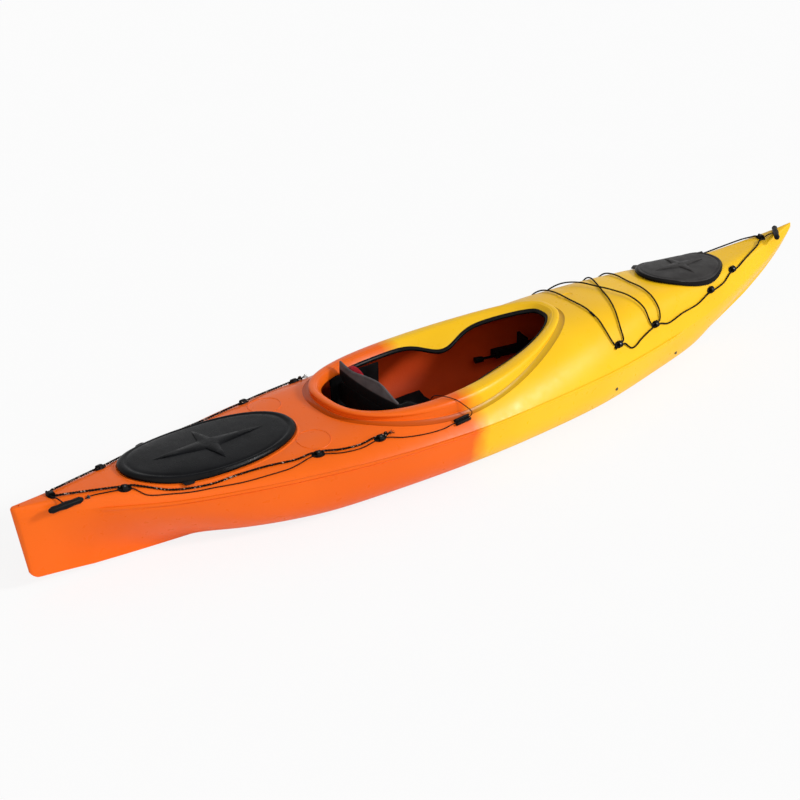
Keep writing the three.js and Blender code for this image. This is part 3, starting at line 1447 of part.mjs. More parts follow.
function cleatSolid() {
  const profile = new THREE.Shape();
  const [half, groove] = [cleat_width / 2, cleat_groove / 2];
  profile.moveTo(-half, -cleat_floor);
  profile.lineTo(half, -cleat_floor);
  profile.lineTo(half, cleat_height * 0.6);
  profile.lineTo(half * 0.75, cleat_height);
  profile.lineTo(groove * 1.4, cleat_height);
  profile.lineTo(groove, cleat_floor);
  profile.lineTo(-groove, cleat_floor);
  profile.lineTo(-groove * 1.4, cleat_height);
  profile.lineTo(-half * 0.75, cleat_height);
  profile.lineTo(-half, cleat_height * 0.6);
  profile.closePath();
  const body = new THREE.ExtrudeGeometry(profile, { depth: cleat_length, bevelEnabled: false });
  body.translate(0, 0, -cleat_length / 2);
  body.rotateX(Math.PI / 2);
  body.rotateZ(Math.PI / 2);
  return toSolid(body);
}

function eyeSolid() {
  const ring = new THREE.TorusGeometry(eye_radius, eye_wire, 6, 14);
  ring.rotateY(Math.PI / 2);
  ring.translate(0, 0, eye_radius);
  const foot = roundTool(eye_radius, eye_wire * 4, 10);
  foot.rotateX(Math.PI / 2);
  return toSolid(ring).add(toSolid(foot));
}

const cleat_x = coaming_centre - cleat_setback;
const cleat_place = [cleat_x, -half_beam_at(cleat_x) * cleat_beam_share];
const eye_x = stern_fitting_place + (stern_end_place - stern_fitting_place) * eye_way_share;
const eye_place = [eye_x, -half_beam_at(eye_x) * eye_beam_share];
const cleat_frame = fittingFrame(cleat_place[0], cleat_place[1], 4);
const eye_frame = fittingFrame(eye_place[0], eye_place[1], 12);
addPart('line_cleat', toGeometry(onDeck(cleatSolid(), cleat_frame)), black_plastic);
addPart('stern_line_eye', toGeometry(onDeck(eyeSolid(), eye_frame)), steel);

function inFrame(frame, along, across, up) {
  return new THREE.Vector3(along, across, up).applyMatrix4(frame);
}

const thin_line_stern_shares = [[0.617, 0, 0.71]];
const thin_line_hatch_shares = [
  [-0.94, 0.369], [-0.729, 0.188], [-0.518, 0.168], [-0.277, 0.201],
  [0, 0.309], [0.265, 0.42], [0.536, 0.585],
];
const thin_line_middle_shares = [[0.328, 0.67, 0], [0.664, 0.67, 0]];
const thin_line_cleat_shares = [[0.244, 0.53, 0], [0.488, 0.68, 0], [0.732, 0.54, 0.71]];

// Through the cleat and away from it, as shares of its length, its width and its height from the groove.
const cleat_pass_shares = [[-0.565, 0, 0], [0, 0, 0], [0.565, 0, 0]];
const cleat_leave_shares = [[0.57, 0, 0], [0.62, 0, 0], [0.726, 0.333, 0.533], [0.565, 0.75, 1.333]];

// The free tail into the cockpit, as shares of the coaming's half length, of its half width and of
// the hull's height.
const thin_line_tail_shares = [
  [-0.2618, -1.1224, 0.7608], [-0.307, -1.0549, 0.8158], [-0.3446, -0.9536, 0.8206],
  [-0.3635, -0.8523, 0.8038], [-0.3672, -0.789, 0.7512], [-0.3635, -0.7658, 0.6794],
  [-0.3559, -0.7616, 0.5885],
];

function cleatStop([along, across, up]) {
  const groove = cleat_floor + thin_line_radius + lie_gap / 2;
  return inFrame(cleat_frame, cleat_length * along, cleat_width * across, groove + cleat_height * up);
}

function thinLineStops() {
  const [first, second, third] = [1, 2, 3].map((i) => fittingPlace(`stern_side_fitting_${i}`));
  const lift = thin_line_radius + lie_gap;
  const eye_level = eye_radius + lie_gap / 2;
  return [
    inFrame(eye_frame, -eye_radius * 2.2, 0, eye_level - splice_gap),
    inFrame(eye_frame, 0, 0, eye_level),
    inFrame(eye_frame, eye_radius * 2.5, -splice_gap * 2, eye_level),
    ...linkStops(first, eye_place, thin_line_stern_shares, lift),
    ...passStops('stern_side_fitting_1_starboard', -1, 1, thin_line_radius),
    ...hatchStops(thin_line_hatch_shares, lift),
    ...passStops('stern_side_fitting_2_starboard', -1, 1, thin_line_radius),
    ...linkStops(second, third, thin_line_middle_shares, lift),
    ...passStops('stern_side_fitting_3_starboard', -1, 1, thin_line_radius),
    ...linkStops(third, cleat_place, thin_line_cleat_shares, lift),
    ...cleat_pass_shares.map(cleatStop),
  ];
}

// The same line past the cleat: it lies free over the coaming and hangs into the cockpit.
function thinTailStops() {
  const hanging = thin_line_tail_shares.map(([along, across, up]) => {
    const x = coaming_centre + (coaming_length / 2) * along;
    return new THREE.Vector3(x, (coaming_width / 2) * across, hull_height * up);
  });
  return [...cleat_leave_shares.map(cleatStop), ...hanging];
}

addPart('starboard_deck_line', lineGeometry(thinLineStops(), thin_line_radius, 1), black_cord);
addPart('starboard_line_tail', lineGeometry(thinTailStops(), thin_line_radius, 1), black_cord);

// Carry toggles. A cord with a stopper knot is held in a tunnel; the grip swings on its end.
const knot_radius = 4.6;
const pivot_out = 6;
const pivot_reach = bridge_length / 2 + pivot_out;
const pivot_gap = 0.5;
const cord_overlap = 3;

// Each grip's middle is given from its end fitting, as shares of the grip's length.
const toggles = [
  { end: 'stern', tunnel: 1, yaw: 2, place_shares: [0.14, -0.523, -0.078] },
  { end: 'bow', tunnel: -1, yaw: 48, place_shares: [0.422, -0.25, 0.161] },
];

function toggleCentre(toggle) {
  const centre = new THREE.Vector3().setFromMatrixPosition(fitting_frames[`${toggle.end}_end_fitting`]);
  return centre.add(new THREE.Vector3(...toggle.place_shares).multiplyScalar(toggle_length));
}

function toggleKnot(toggle) {
  const frame = fitting_frames[`${toggle.end}_end_fitting`];
  const at = (along) => inFrame(frame, along, toggle.tunnel * tunnel_offset, tunnel_height);
  const cord = lineGeometry([at(pivot_reach + cord_overlap), at(0), at(-pivot_reach)], toggle_cord_radius, 1);
  const knot = new THREE.SphereGeometry(knot_radius, 8, 6);
  const knot_lift = fitting_base + knot_radius + fit_gap;
  const knot_reach = bridge_length / 2 + knot_radius + fit_gap;
  const port_end = inFrame(frame, knot_reach, toggle.tunnel * tunnel_offset, knot_lift);
  knot.translate(port_end.x, port_end.y, port_end.z);
  const end = new THREE.SphereGeometry(toggle_cord_radius * 1.02, 8, 6);
  const pivot = at(-pivot_reach);
  end.translate(pivot.x, pivot.y, pivot.z);
  return { solid: toSolid(cord).add(toSolid(knot)).add(toSolid(end)), pivot };
}

function toggleGrip(toggle) {
  const spans = [0, 0.03, 0.12, 0.3, 0.5, 0.7, 0.88, 0.97, 1];
  const profile = spans.map((share) => {
    const from_end = Math.min(share, 1 - share);
    const waist = toggle_waist_share + (1 - toggle_waist_share) * Math.cos(Math.PI * 2 * share) ** 2;
    const round = Math.min(1, Math.sqrt(Math.min(1, from_end / 0.12 + 0.02)));
    const radius = share === 0 || share === 1 ? 0 : toggle_radius * waist * round;
    return new THREE.Vector2(radius, (share - 0.5) * toggle_length);
  });
  const grip = new THREE.LatheGeometry(profile, 12);
  grip.rotateZ(-Math.PI / 2);
  grip.rotateZ(THREE.MathUtils.degToRad(toggle.yaw));
  grip.translate(...toggleCentre(toggle).toArray());
  return toSolid(grip);
}

function toggleCord(toggle, pivot) {
  const middle = toggleCentre(toggle);
  const outward = middle.clone().sub(pivot).normalize();
  const start = pivot.clone().addScaledVector(outward, toggle_cord_radius + pivot_gap);
  const halfway = start.clone().lerp(middle, 0.4).add(new THREE.Vector3(0, 0, toggle_cord_radius * 2));
  return toSolid(lineGeometry([start, halfway, middle], toggle_cord_radius, 2));
}

toggles.forEach((toggle) => {
  const { solid, pivot } = toggleKnot(toggle);
  addPart(`${toggle.end}_toggle_knot`, toGeometry(solid), black_cord);
  const grip = toggleGrip(toggle).subtract(clear_outside);
  addPart(`${toggle.end}_toggle`, toGeometry(grip.add(toggleCord(toggle, pivot))), black_plastic);
});

export default parts;
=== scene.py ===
# Looks of a sit-in touring kayak, dressed over its solids. Metres, +X bow, +Y port, +Z up.
import math

import bmesh
import bpy
import numpy as np
from mathutils import Matrix, Vector


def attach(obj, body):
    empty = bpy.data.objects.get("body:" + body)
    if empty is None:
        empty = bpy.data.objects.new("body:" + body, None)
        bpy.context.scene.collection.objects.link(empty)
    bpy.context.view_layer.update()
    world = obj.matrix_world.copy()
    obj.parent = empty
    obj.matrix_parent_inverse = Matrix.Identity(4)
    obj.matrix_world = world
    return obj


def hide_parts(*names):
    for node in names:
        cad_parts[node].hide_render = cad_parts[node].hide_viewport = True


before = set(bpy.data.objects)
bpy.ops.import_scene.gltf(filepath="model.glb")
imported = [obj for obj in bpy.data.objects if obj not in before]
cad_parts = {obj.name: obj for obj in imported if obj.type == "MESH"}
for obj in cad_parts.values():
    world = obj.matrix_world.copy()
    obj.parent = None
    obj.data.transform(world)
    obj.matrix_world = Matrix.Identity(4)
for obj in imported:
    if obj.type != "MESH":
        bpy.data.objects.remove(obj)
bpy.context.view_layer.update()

# Camera, floor and light

VIEW_TURN, VIEW_DIP, VIEW_ROLL = (math.radians(a) for a in (37.99134977, 28.11214331, 0.70747515))
VIEW_PLACE = Vector((-3.8717978, -4.6313304, 3.3699759))
VIEW_LENS = 36 * 1842.66597 / 800
LIT_POINT = Vector((0, 0, 0.2))
FLOOR_HALF, FLOOR_DROP, FLOOR_GLOW = 40, 0.0005, 0.85
WORLD_LIGHT, WORLD_SEEN = 0.46, 1.0


def add_object(name, data):
    made = bpy.data.objects.new(name, data)
    bpy.context.scene.collection.objects.link(made)
    return made


def settle(piece, body, node):
    """The body a piece rides on, the solid it stands for, if any."""
    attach(piece, body)
    if node:
        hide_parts(node)
    return piece


def placed(x, y, z, at):
    """The matrix with these three axes and this origin."""
    return Matrix([*zip(x, y, z, at), (0, 0, 0, 1)])


def make_camera():
    ahead = Vector((math.sin(VIEW_TURN) * math.cos(VIEW_DIP),
                    math.cos(VIEW_TURN) * math.cos(VIEW_DIP), -math.sin(VIEW_DIP)))
    level = ahead.cross(Vector((0, 0, 1))).normalized()
    above = level.cross(ahead)
    right = level * math.cos(VIEW_ROLL) + above * math.sin(VIEW_ROLL)
    up = -level * math.sin(VIEW_ROLL) + above * math.cos(VIEW_ROLL)
    data = bpy.data.cameras.new("camera")
    data.lens = VIEW_LENS
    data.sensor_width = 36
    data.clip_end = 200
    camera = add_object("camera", data)
    camera.matrix_world = placed(right, up, -ahead, VIEW_PLACE)
    bpy.context.scene.camera = camera


def add_sun(name, place, energy, spread):
    """A sun seen from LIT_POINT in the direction of a place, its disc this many degrees wide."""
    data = bpy.data.lights.new(name, "SUN")
    data.energy = energy
    data.angle = math.radians(spread)
    lamp = add_object(name, data)
    lamp.location = place
    lamp.rotation_mode = "QUATERNION"
    lamp.rotation_quaternion = (LIT_POINT - Vector(place)).to_track_quat("-Z", "Y")


class Look:
    """A material, with short ways to add nodes to it."""

    def __init__(self, name, colour, roughness, metallic=0.0, specular=0.5):
        self.material = bpy.data.materials.new(name)
        self.material.use_nodes = True
        tree = self.material.node_tree
        self.nodes, self.links = tree.nodes, tree.links
        self.shader = self.nodes["Principled BSDF"]
        self.shader.inputs["Base Color"].default_value = (*colour, 1)
        self.shader.inputs["Roughness"].default_value = roughness
        self.shader.inputs["Metallic"].default_value = metallic
        self.shader.inputs["Specular IOR Level"].default_value = specular
        self.material.diffuse_color = (*colour, 1)
        self.place = self.nodes.new("ShaderNodeTexCoord").outputs["Object"]

    def put(self, socket, value):
        if isinstance(value, bpy.types.NodeSocket):
            self.links.new(value, socket)
        elif isinstance(value, (tuple, list)) and len(value) == 3 and socket.type == "RGBA":
            socket.default_value = (*value, 1)
        else:
            socket.default_value = value

    def node(self, kind, values=None, **options):
        made = self.nodes.new("ShaderNode" + kind)
        for key, value in options.items():
            setattr(made, key, value)
        for key, value in (values or {}).items():
            self.put(made.inputs[key], value)
        return made

    def maths(self, operation, a, b=0.0, c=0.0, clamp=False):
        return self.node("Math", {0: a, 1: b, 2: c}, operation=operation, use_clamp=clamp).outputs[0]

    def noise(self, scale, detail, source=None):
        values = {"Vector": source or self.place, "Scale": scale, "Detail": detail}
        return self.node("TexNoise", values).outputs["Fac"]

    def cells(self, scale, source=None):
        return self.node("TexVoronoi", {"Vector": source or self.place, "Scale": scale}).outputs["Distance"]

    def parts(self, source=None):
        return self.node("SeparateXYZ", {"Vector": source or self.place}).outputs

    def sine(self, value, rate):
        return self.maths("SINE", self.maths("MULTIPLY", value, rate))

    def mottle(self, scale, detail, low, high, start=0.35, end=0.65):
        """Two tones or levels that run into each other over soft noise."""
        return self.ramp(self.noise(scale, detail), [(start, low), (end, high)])

    def ramp(self, factor, stops):
        node = self.node("ValToRGB", {"Fac": factor})
        while len(node.color_ramp.elements) < len(stops):
            node.color_ramp.elements.new(0.5)
        for element, (at, colour) in zip(node.color_ramp.elements, stops):
            element.position = at
            element.color = (*colour, 1) if isinstance(colour, tuple) else (colour, colour, colour, 1)
        return node.outputs["Color"]

    def mix(self, factor, a, b):
        node = self.node("Mix", data_type="RGBA")
        self.put(node.inputs["Factor"], factor)
        self.put(node.inputs[6], a)
        self.put(node.inputs[7], b)
        return node.outputs[2]

    def bump(self, height, distance, strength=1.0, after=None):
        node = self.node("Bump", {"Height": height, "Distance": distance, "Strength": strength})
        if after is not None:
            self.put(node.inputs["Normal"], after)
        return node.outputs["Normal"]

    def finish(self, colour=None, roughness=None, normal=None):
        for key, value in (("Base Color", colour), ("Roughness", roughness), ("Normal", normal)):
            if value is not None:
                self.put(self.shader.inputs[key], value)
        return self.material


def make_stage():
    """A pale floor that keeps the shadow, and a world that is white to the camera and to gloss."""
    look = Look("floor_paint", (0.94, 0.94, 0.94), 0.9, specular=0.05)
    look.finish(look.mottle(3.0, 3.0, 0.93, 0.95, 0.3, 0.7))
    rays = look.node("LightPath").outputs
    white = look.node("Emission", {"Color": (1, 1, 1), "Strength": 1.0}).outputs[0]
    seen = look.maths("MULTIPLY", rays["Is Camera Ray"], FLOOR_GLOW)
    blend = look.node("MixShader", {0: seen, 1: look.shader.outputs[0], 2: white}).outputs[0]
    look.links.new(blend, look.nodes["Material Output"].inputs["Surface"])
    mesh = bpy.data.meshes.new("floor")
    corners = [(x * FLOOR_HALF, y * FLOOR_HALF, 0) for x, y in ((-1, -1), (1, -1), (1, 1), (-1, 1))]
    mesh.from_pydata(corners, [], [(0, 1, 2, 3)])
    mesh.materials.append(look.material)
    floor = add_object("floor", mesh)
    floor.location.z = -FLOOR_DROP
    world = bpy.data.worlds.new("studio")
    bpy.context.scene.world = world
    world.use_nodes = True
    tree = world.node_tree
    rays = tree.nodes.new("ShaderNodeLightPath").outputs
    seen = tree.nodes.new("ShaderNodeMath")
    seen.operation = "MAXIMUM"
    for socket, ray in enumerate(("Is Camera Ray", "Is Glossy Ray")):
        tree.links.new(rays[ray], seen.inputs[socket])
    level = tree.nodes.new("ShaderNodeMapRange")
    tree.links.new(seen.outputs[0], level.inputs["Value"])
    level.inputs["To Min"].default_value = WORLD_LIGHT
    level.inputs["To Max"].default_value = WORLD_SEEN
    background = tree.nodes["Background"]
    background.inputs["Color"].default_value = (1, 1, 1, 1)
    tree.links.new(level.outputs["Result"], background.inputs["Strength"])


make_camera()
make_stage()
bpy.context.scene.view_settings.view_transform = "Standard"
add_sun("key", (3.9, -4.2, 3.6), 1.66, 9)
add_sun("fill", (-2.2, -5.0, 2.8), 0.85, 75)

# The hull's form, from the same shares as the solids

MERGE_DISTANCE = 1.2e-4
LENGTH, BEAM, HEIGHT, WALL = 3.6, 0.664, 0.418, 0.006
LEDGE, LEDGE_AFT, LEDGE_FORE = 0.0064, (-1.56, -1.49), (0.90, 1.02)
LEDGE_SWELL, LEDGE_STEP = (-0.055, -0.015), (-0.0145, -0.0110)
LEDGE_CUT, LEDGE_CUT_DROP, LEDGE_CUT_HALF = 0.0042, 0.0135, 0.0016
HALF_LENGTH, HALF_BEAM = LENGTH / 2, BEAM / 2
STERN_RAKE, RAKE_SHARE = 0.048, 0.8
STRIP_WIDTH, STRIP_SHARE = 0.044, 0.28
STATIONS = np.array([
    [-1.000, 0.040, 0.720, 0.806, 0.131, 0.90, 0.40, 0.70, 6.0],
    [-0.922, 0.140, 0.697, 0.797, 0.112, 0.30, 0.42, 0.72, 6.0],
    [-0.844, 0.265, 0.672, 0.782, 0.091, 0.16, 0.42, 0.70, 6.0],
    [-0.717, 0.505, 0.628, 0.748, 0.053, 0.22, 0.26, 0.58, 6.0],
    [-0.572, 0.720, 0.610, 0.716, 0.019, 0.60, 0.06, 0.36, 6.0],
    [-0.422, 0.885, 0.595, 0.720, 0.000, 0.80, 0.02, 0.27, 5.4],
    [-0.272, 0.962, 0.565, 0.760, 0.000, 0.84, 0.02, 0.27, 4.2],
    [-0.089, 1.000, 0.545, 0.830, 0.000, 0.84, 0.02, 0.27, 3.5],
    [0.056, 0.985, 0.550, 0.884, 0.000, 0.84, 0.02, 0.27, 3.5],
    [0.256, 0.895, 0.546, 0.948, 0.000, 0.80, 0.02, 0.28, 3.5],
    [0.367, 0.800, 0.541, 0.962, 0.000, 0.74, 0.03, 0.30, 3.6],
    [0.511, 0.640, 0.541, 0.938, 0.002, 0.58, 0.06, 0.36, 4.4],
    [0.611, 0.530, 0.560, 0.900, 0.012, 0.45, 0.10, 0.42, 5.4],
    [0.667, 0.467, 0.585, 0.882, 0.035, 0.36, 0.15, 0.48, 6.0],
    [0.756, 0.361, 0.645, 0.876, 0.205, 0.28, 0.25, 0.58, 6.0],
    [0.900, 0.169, 0.789, 0.940, 0.550, 0.30, 0.30, 0.62, 5.0],
    [0.967, 0.072, 0.896, 0.978, 0.777, 0.40, 0.30, 0.62, 4.0],
    [1.000, 0.016, 0.975, 1.000, 0.950, 0.80, 0.30, 0.62, 3.5],
])
BEAM_COL, RIDGE_COL, CROWN_COL, KEEL_COL, BELLY_COL, TURN_COL, BILGE_COL, SQUARE_COL = range(1, 9)


def fair(share, column):
    places, values = STATIONS[:, 0], STATIONS[:, column]
    last = len(places) - 1
    share = np.clip(np.asarray(share, float), places[0], places[-1])
    row = np.clip(np.searchsorted(places, share) - 1, 0, last - 1)
    before = np.maximum(np.arange(last + 1) - 1, 0)
    after = np.minimum(np.arange(last + 1) + 1, last)
    slope = (values[after] - values[before]) / (places[after] - places[before])
    span = places[row + 1] - places[row]
    t = (share - places[row]) / span
    start, end = values[row], values[row + 1]
    bend = t * (1 - t) ** 2 * slope[row] + t * t * (t - 1) * slope[row + 1]
    return start + (end - start) * t * t * (3 - 2 * t) + bend * span


def smooth(low, high, value):
    t = np.clip((np.asarray(value, float) - low) / (high - low), 0, 1)
    return t * t * (3 - 2 * t)


def half_beam(x):
    return HALF_BEAM * fair(x / HALF_LENGTH, BEAM_COL)


def ridge(x):
    return HEIGHT * fair(x / HALF_LENGTH, RIDGE_COL)


def crown(x):
    return HEIGHT * fair(x / HALF_LENGTH, CROWN_COL)


def keel(x):
    return HEIGHT * np.maximum(fair(x / HALF_LENGTH, KEEL_COL), 0)


def deck_height(x, y):
    out = np.minimum(np.abs(y) / half_beam(x), 1)
    return crown(x) - (crown(x) - ridge(x)) * out ** fair(x / HALF_LENGTH, SQUARE_COL)


def deck_at(x, y):
    return float(deck_height(x, y))


def deck_normal(x, y):
    step = 0.006
    along = (deck_height(x + step, y) - deck_height(x - step, y)) / (2 * step)
    across = (deck_height(x, y + step) - deck_height(x, y - step)) / (2 * step)
    return Vector((-float(along), -float(across), 1)).normalized()


def half_section(x, sides, shares, ledge):
    """From the keel strip out to the ridge and up to the deck crown, as rows of (across, up)."""
    beam, top = float(half_beam(x)), float(ridge(x))
    low = min(float(keel(x)), top - WALL)
    share = x / HALF_LENGTH
    strip = min(STRIP_WIDTH / 2, beam * STRIP_SHARE)
    belly = max(float(fair(share, BELLY_COL)) * beam, strip)
    turn = low + (top - low) * float(fair(share, TURN_COL))
    bilge = low + (top - low) * float(fair(share, BILGE_COL))
    t = sides[:, None]
    side = ((1 - t) ** 3 * np.array([strip, low]) + 3 * (1 - t) ** 2 * t * np.array([belly, turn])
            + 3 * (1 - t) * t * t * np.array([beam * 0.975, bilge]) + t ** 3 * np.array([beam, top]))
    reach = ledge * smooth(*LEDGE_AFT, x) * (1 - smooth(*LEDGE_FORE, x))
    up = side[:, 1] - top
    swell = 0.4 * smooth(*LEDGE_SWELL, up) + 0.6 * smooth(*LEDGE_STEP, up)
    cut = LEDGE_CUT * np.exp(-((up + LEDGE_CUT_DROP) / LEDGE_CUT_HALF) ** 2) * (reach / LEDGE)
    side[:, 0] += (reach * swell - cut) * (sides < 0.999)
    across = beam * shares[1:]
    deck = np.stack([across, deck_height(x, across)], 1)
    return np.concatenate([side, deck])


def whole_section(x, half):
    lean = STERN_RAKE * min(max((-x / HALF_LENGTH - RAKE_SHARE) / (1 - RAKE_SHARE), 0), 1)
    top, depth = half[-1, 1], float(crown(x) - keel(x))
    port = np.stack([x + lean * (top - half[:, 1]) / depth, half[:, 0], half[:, 1]], 1)
    starboard = port[:-1][::-1] * np.array([1, -1, 1])
    return np.concatenate([port, starboard])


def moved_corners(points, distance, closed):
    """An open or closed outline with every corner moved to the right of its way, both walls even."""
    if closed:
        before, after = np.roll(points, 1, 0), np.roll(points, -1, 0)
    else:
        before = np.concatenate([[points[0] - [WALL, 0]], points[:-1]])
        after = np.concatenate([points[1:], [points[-1] - [WALL, 0]]])
    first, second = points - before, after - points
    first = np.stack([first[:, 1], -first[:, 0]], 1) / np.linalg.norm(first, axis=1)[:, None]
    second = np.stack([second[:, 1], -second[:, 0]], 1) / np.linalg.norm(second, axis=1)[:, None]
    reach = distance / (1 + (first * second).sum(1))
    return points + (first + second) * reach[:, None]


def loft(sections, ring=False):
    """Vertices and faces of a skin over closed outlines, capped unless it is a ring."""
    count = len(sections[0])
    vertices = [tuple(p) for s in sections for p in s]
    faces = []
    spans = len(sections) if ring else len(sections) - 1
    for i in range(spans):
        near, far = i * count, (i + 1) % len(sections) * count
        for j in range(count):
            k = (j + 1) % count
            faces.append((near + j, near + k, far + k, far + j))
    if not ring:
        faces.append(tuple(range(count - 1, -1, -1)))
        faces.append(tuple(range((len(sections) - 1) * count, len(sections) * count)))
    return vertices, faces


def volume_of(vertices, faces):
    p = np.array(vertices, float)
    total = 0.0
    for f in faces:
        for i in range(1, len(f) - 1):
            total += np.dot(p[f[0]], np.cross(p[f[i]], p[f[i + 1]]))
    return total


def make_mesh(name, vertices, faces, materials, slots=None):
    if volume_of(vertices, faces) < 0:
        faces = [tuple(reversed(f)) for f in faces]
    mesh = bpy.data.meshes.new(name)
    mesh.from_pydata([tuple(map(float, v)) for v in vertices], [], faces)
    for material in materials:
        mesh.materials.append(material)
    if slots is not None:
        mesh.polygons.foreach_set("material_index", slots)
    mesh.update()
    return add_object(name, mesh)


def soften(piece, angle):
    """Smooth shading, with the edges sharper than an angle in degrees kept."""
    piece.data.shade_smooth()
    piece.data.set_sharp_from_angle(angle=math.radians(angle))


def modify(piece, kind, **settings):
    modifier = piece.modifiers.new(kind.lower(), kind)
    for key, value in settings.items():
        setattr(modifier, key, value)
    return modifier


def combine(piece, *steps):
    """Cuts and joins with other meshes, which go away: steps are (operation, object)."""
    for operation, tool in steps:
        modify(piece, "BOOLEAN", operation=operation, solver="MANIFOLD", object=tool)
    bpy.context.view_layer.update()
    result = piece.evaluated_get(bpy.context.evaluated_depsgraph_get())
    mesh = bpy.data.meshes.new_from_object(result)
    piece.modifiers.clear()
    piece.data = mesh
    work = bmesh.new()
    work.from_mesh(mesh)
    bmesh.ops.remove_doubles(work, verts=work.verts, dist=MERGE_DISTANCE)
    bmesh.ops.dissolve_degenerate(work, edges=work.edges, dist=MERGE_DISTANCE)
    work.to_mesh(mesh)
    work.free()
    for _, tool in steps:
        bpy.data.objects.remove(tool)


def rounded(points):
    """A closed outline with its corners cut twice."""
    points = np.asarray(points, float)
    for _ in range(2):
        after = np.roll(points, -1, 0)
        pairs = np.stack([points * 0.75 + after * 0.25, points * 0.25 + after * 0.75], 1)
        points = pairs.reshape(-1, points.shape[1])
    return points


# Plan curves of the cockpit and the hatches

COAMING = dict(length=1.062, width=0.474, centre=-0.069, low=0.333, low_place=-0.350, front=0.416,
               flare=0.034, taper=0.22, square=0.75)
LIP_OVERHANG, LIP_DEPTH, BAND = 0.014, 0.013, 0.024
EDGE_CORNERS = [9, 10, 11]
COCKPIT_INSET, COCKPIT_DROP = 0.046, 0.024
BRACE_PLACE, BRACE_REACH, BRACE_DROP, BRACE_SPREAD = 0.062, 0.048, 0.038, 0.095
STERN_HATCH = dict(name="stern_hatch_cover", centre=-1.068, length=0.664, width=0.324, tab=0.66, sides=(1, -1))
BOW_HATCH = dict(name="bow_hatch_cover", centre=1.150, length=0.406, width=0.248, tab=0.74, sides=(1,))
HATCH_SQUARE = 0.92
COVER_WALL, COVER_CROWN, COVER_SKIRT, SKIRT_GAP = 0.004, 0.006, 0.008, 0.003
COLLAR_WALL, COLLAR_RISE, BEAD_REACH, BEAD_HEIGHT = 0.006, 0.014, 0.003, 0.005
COLLAR_INSET = COVER_SKIRT + 0.0003
COVER_RISE = COLLAR_RISE + COVER_WALL + 0.0003


def powered(value, power):
    """A power that keeps the value's sign."""
    return abs(value) ** power * math.copysign(1, value)


def coaming_plan(turn):
    wide = powered(math.sin(turn), COAMING["square"])
    x = COAMING["centre"] + COAMING["length"] / 2 * math.cos(turn)
    return np.array([x, COAMING["width"] / 2 * wide * (1 - COAMING["taper"] * math.cos(turn))])


def oval_plan(hatch, inset=0.0):
    def plan(turn):
        along, across = powered(math.cos(turn), HATCH_SQUARE), powered(math.sin(turn), HATCH_SQUARE)
        return np.array([hatch["centre"] + (hatch["length"] / 2 - inset) * along,
                         (hatch["width"] / 2 - inset) * across])
    return plan


def plan_normal(plan, turn):
    way = plan(turn + 0.02) - plan(turn - 0.02)
    return np.array([way[1], -way[0]]) / np.linalg.norm(way)


def beside(plan, turn, out):
    return plan(turn) + plan_normal(plan, turn) * out


def coaming_height(x):
    front = COAMING["centre"] + COAMING["length"] / 2
    share = (x - COAMING["low_place"]) / (front - COAMING["low_place"])
    return COAMING["low"] + (COAMING["front"] - COAMING["low"]) * share * share


def coaming_lean(turn):
    return abs(math.sin(turn)) ** 3


def coaming_foot(turn):
    return LIP_OVERHANG - (LIP_OVERHANG + COAMING["flare"]) * coaming_lean(turn)


def coaming_profile(turn):
    """(out, up) corners of the coaming's section, with the cockpit's edge at EDGE_CORNERS."""
    x, y = coaming_plan(turn)
    nx, ny = plan_normal(coaming_plan, turn)
    crest = coaming_height(x)
    brace = math.exp(-(((x - BRACE_PLACE) / BRACE_SPREAD) ** 2)) * min(1, abs(y) / BAND)
    reach = COCKPIT_INSET + BRACE_REACH * brace
    drop = COCKPIT_DROP + BRACE_DROP * brace
    middle, lean, foot = (BAND + reach) / 2, coaming_lean(turn), coaming_foot(turn)
    flare, over = COAMING["flare"], LIP_OVERHANG

    def deck(inset):
        return deck_at(x - nx * inset, y - ny * inset) - WALL * 0.6

    outer = min(deck(foot), crest - LIP_DEPTH * 1.1)
    inner = min(deck(foot + WALL), crest - LIP_DEPTH * 1.1)
    waist = LIP_DEPTH * (1 + lean)
    return np.array([
        [-foot, outer],
        [-over + (over + flare * 0.86) * lean, crest - waist],
        [-WALL * 0.2 + flare * 0.82 * lean, crest - waist + LIP_DEPTH * (0.1 + 0.5 * lean)],
        [flare * 0.52 * lean, crest - WALL * 0.8],
        [-WALL * 0.5 + flare * 0.20 * lean, crest - WALL * 0.2],
        [-WALL * 1.5, crest],
        [-BAND * 0.80, crest - WALL * 0.10],
        [-BAND * 0.94, crest - WALL * 0.50],
        [-BAND * 1.12, crest - WALL * 0.42],
        [-middle, crest - drop * 0.45],
        [-reach, crest - drop],
        [-reach + WALL * 0.3, crest - drop - WALL],
        [-middle + WALL * 0.5, crest - drop * 0.45 - WALL * 1.2],
        [-BAND - WALL * 0.2, crest - WALL * 1.4],
        [-over - WALL + (over + flare * 0.6) * lean, crest - waist],
        [-foot - WALL, inner],
    ])


def stand(plan, turn, profile):
    """A profile of (out, up) rows, stood up at one turn of a plan curve."""
    x, y = plan(turn)
    nx, ny = plan_normal(plan, turn)
    return np.stack([x + nx * profile[:, 0], y + ny * profile[:, 0], profile[:, 1]], 1)


def turns(steps):
    return [2 * math.pi * (i + 0.5) / steps for i in range(steps)]


def plan_cutter(plan, inset_at, low, high, steps):
    """Upright cutter for an opening that follows a plan curve."""
    outline = [beside(plan, turn, -inset_at(turn)) for turn in turns(steps)]
    levels = [np.array([[x, y, z] for x, y in outline]) for z in (low, high)]
    return make_mesh("opening", *loft(levels), HULL_LOOKS)


# Materials

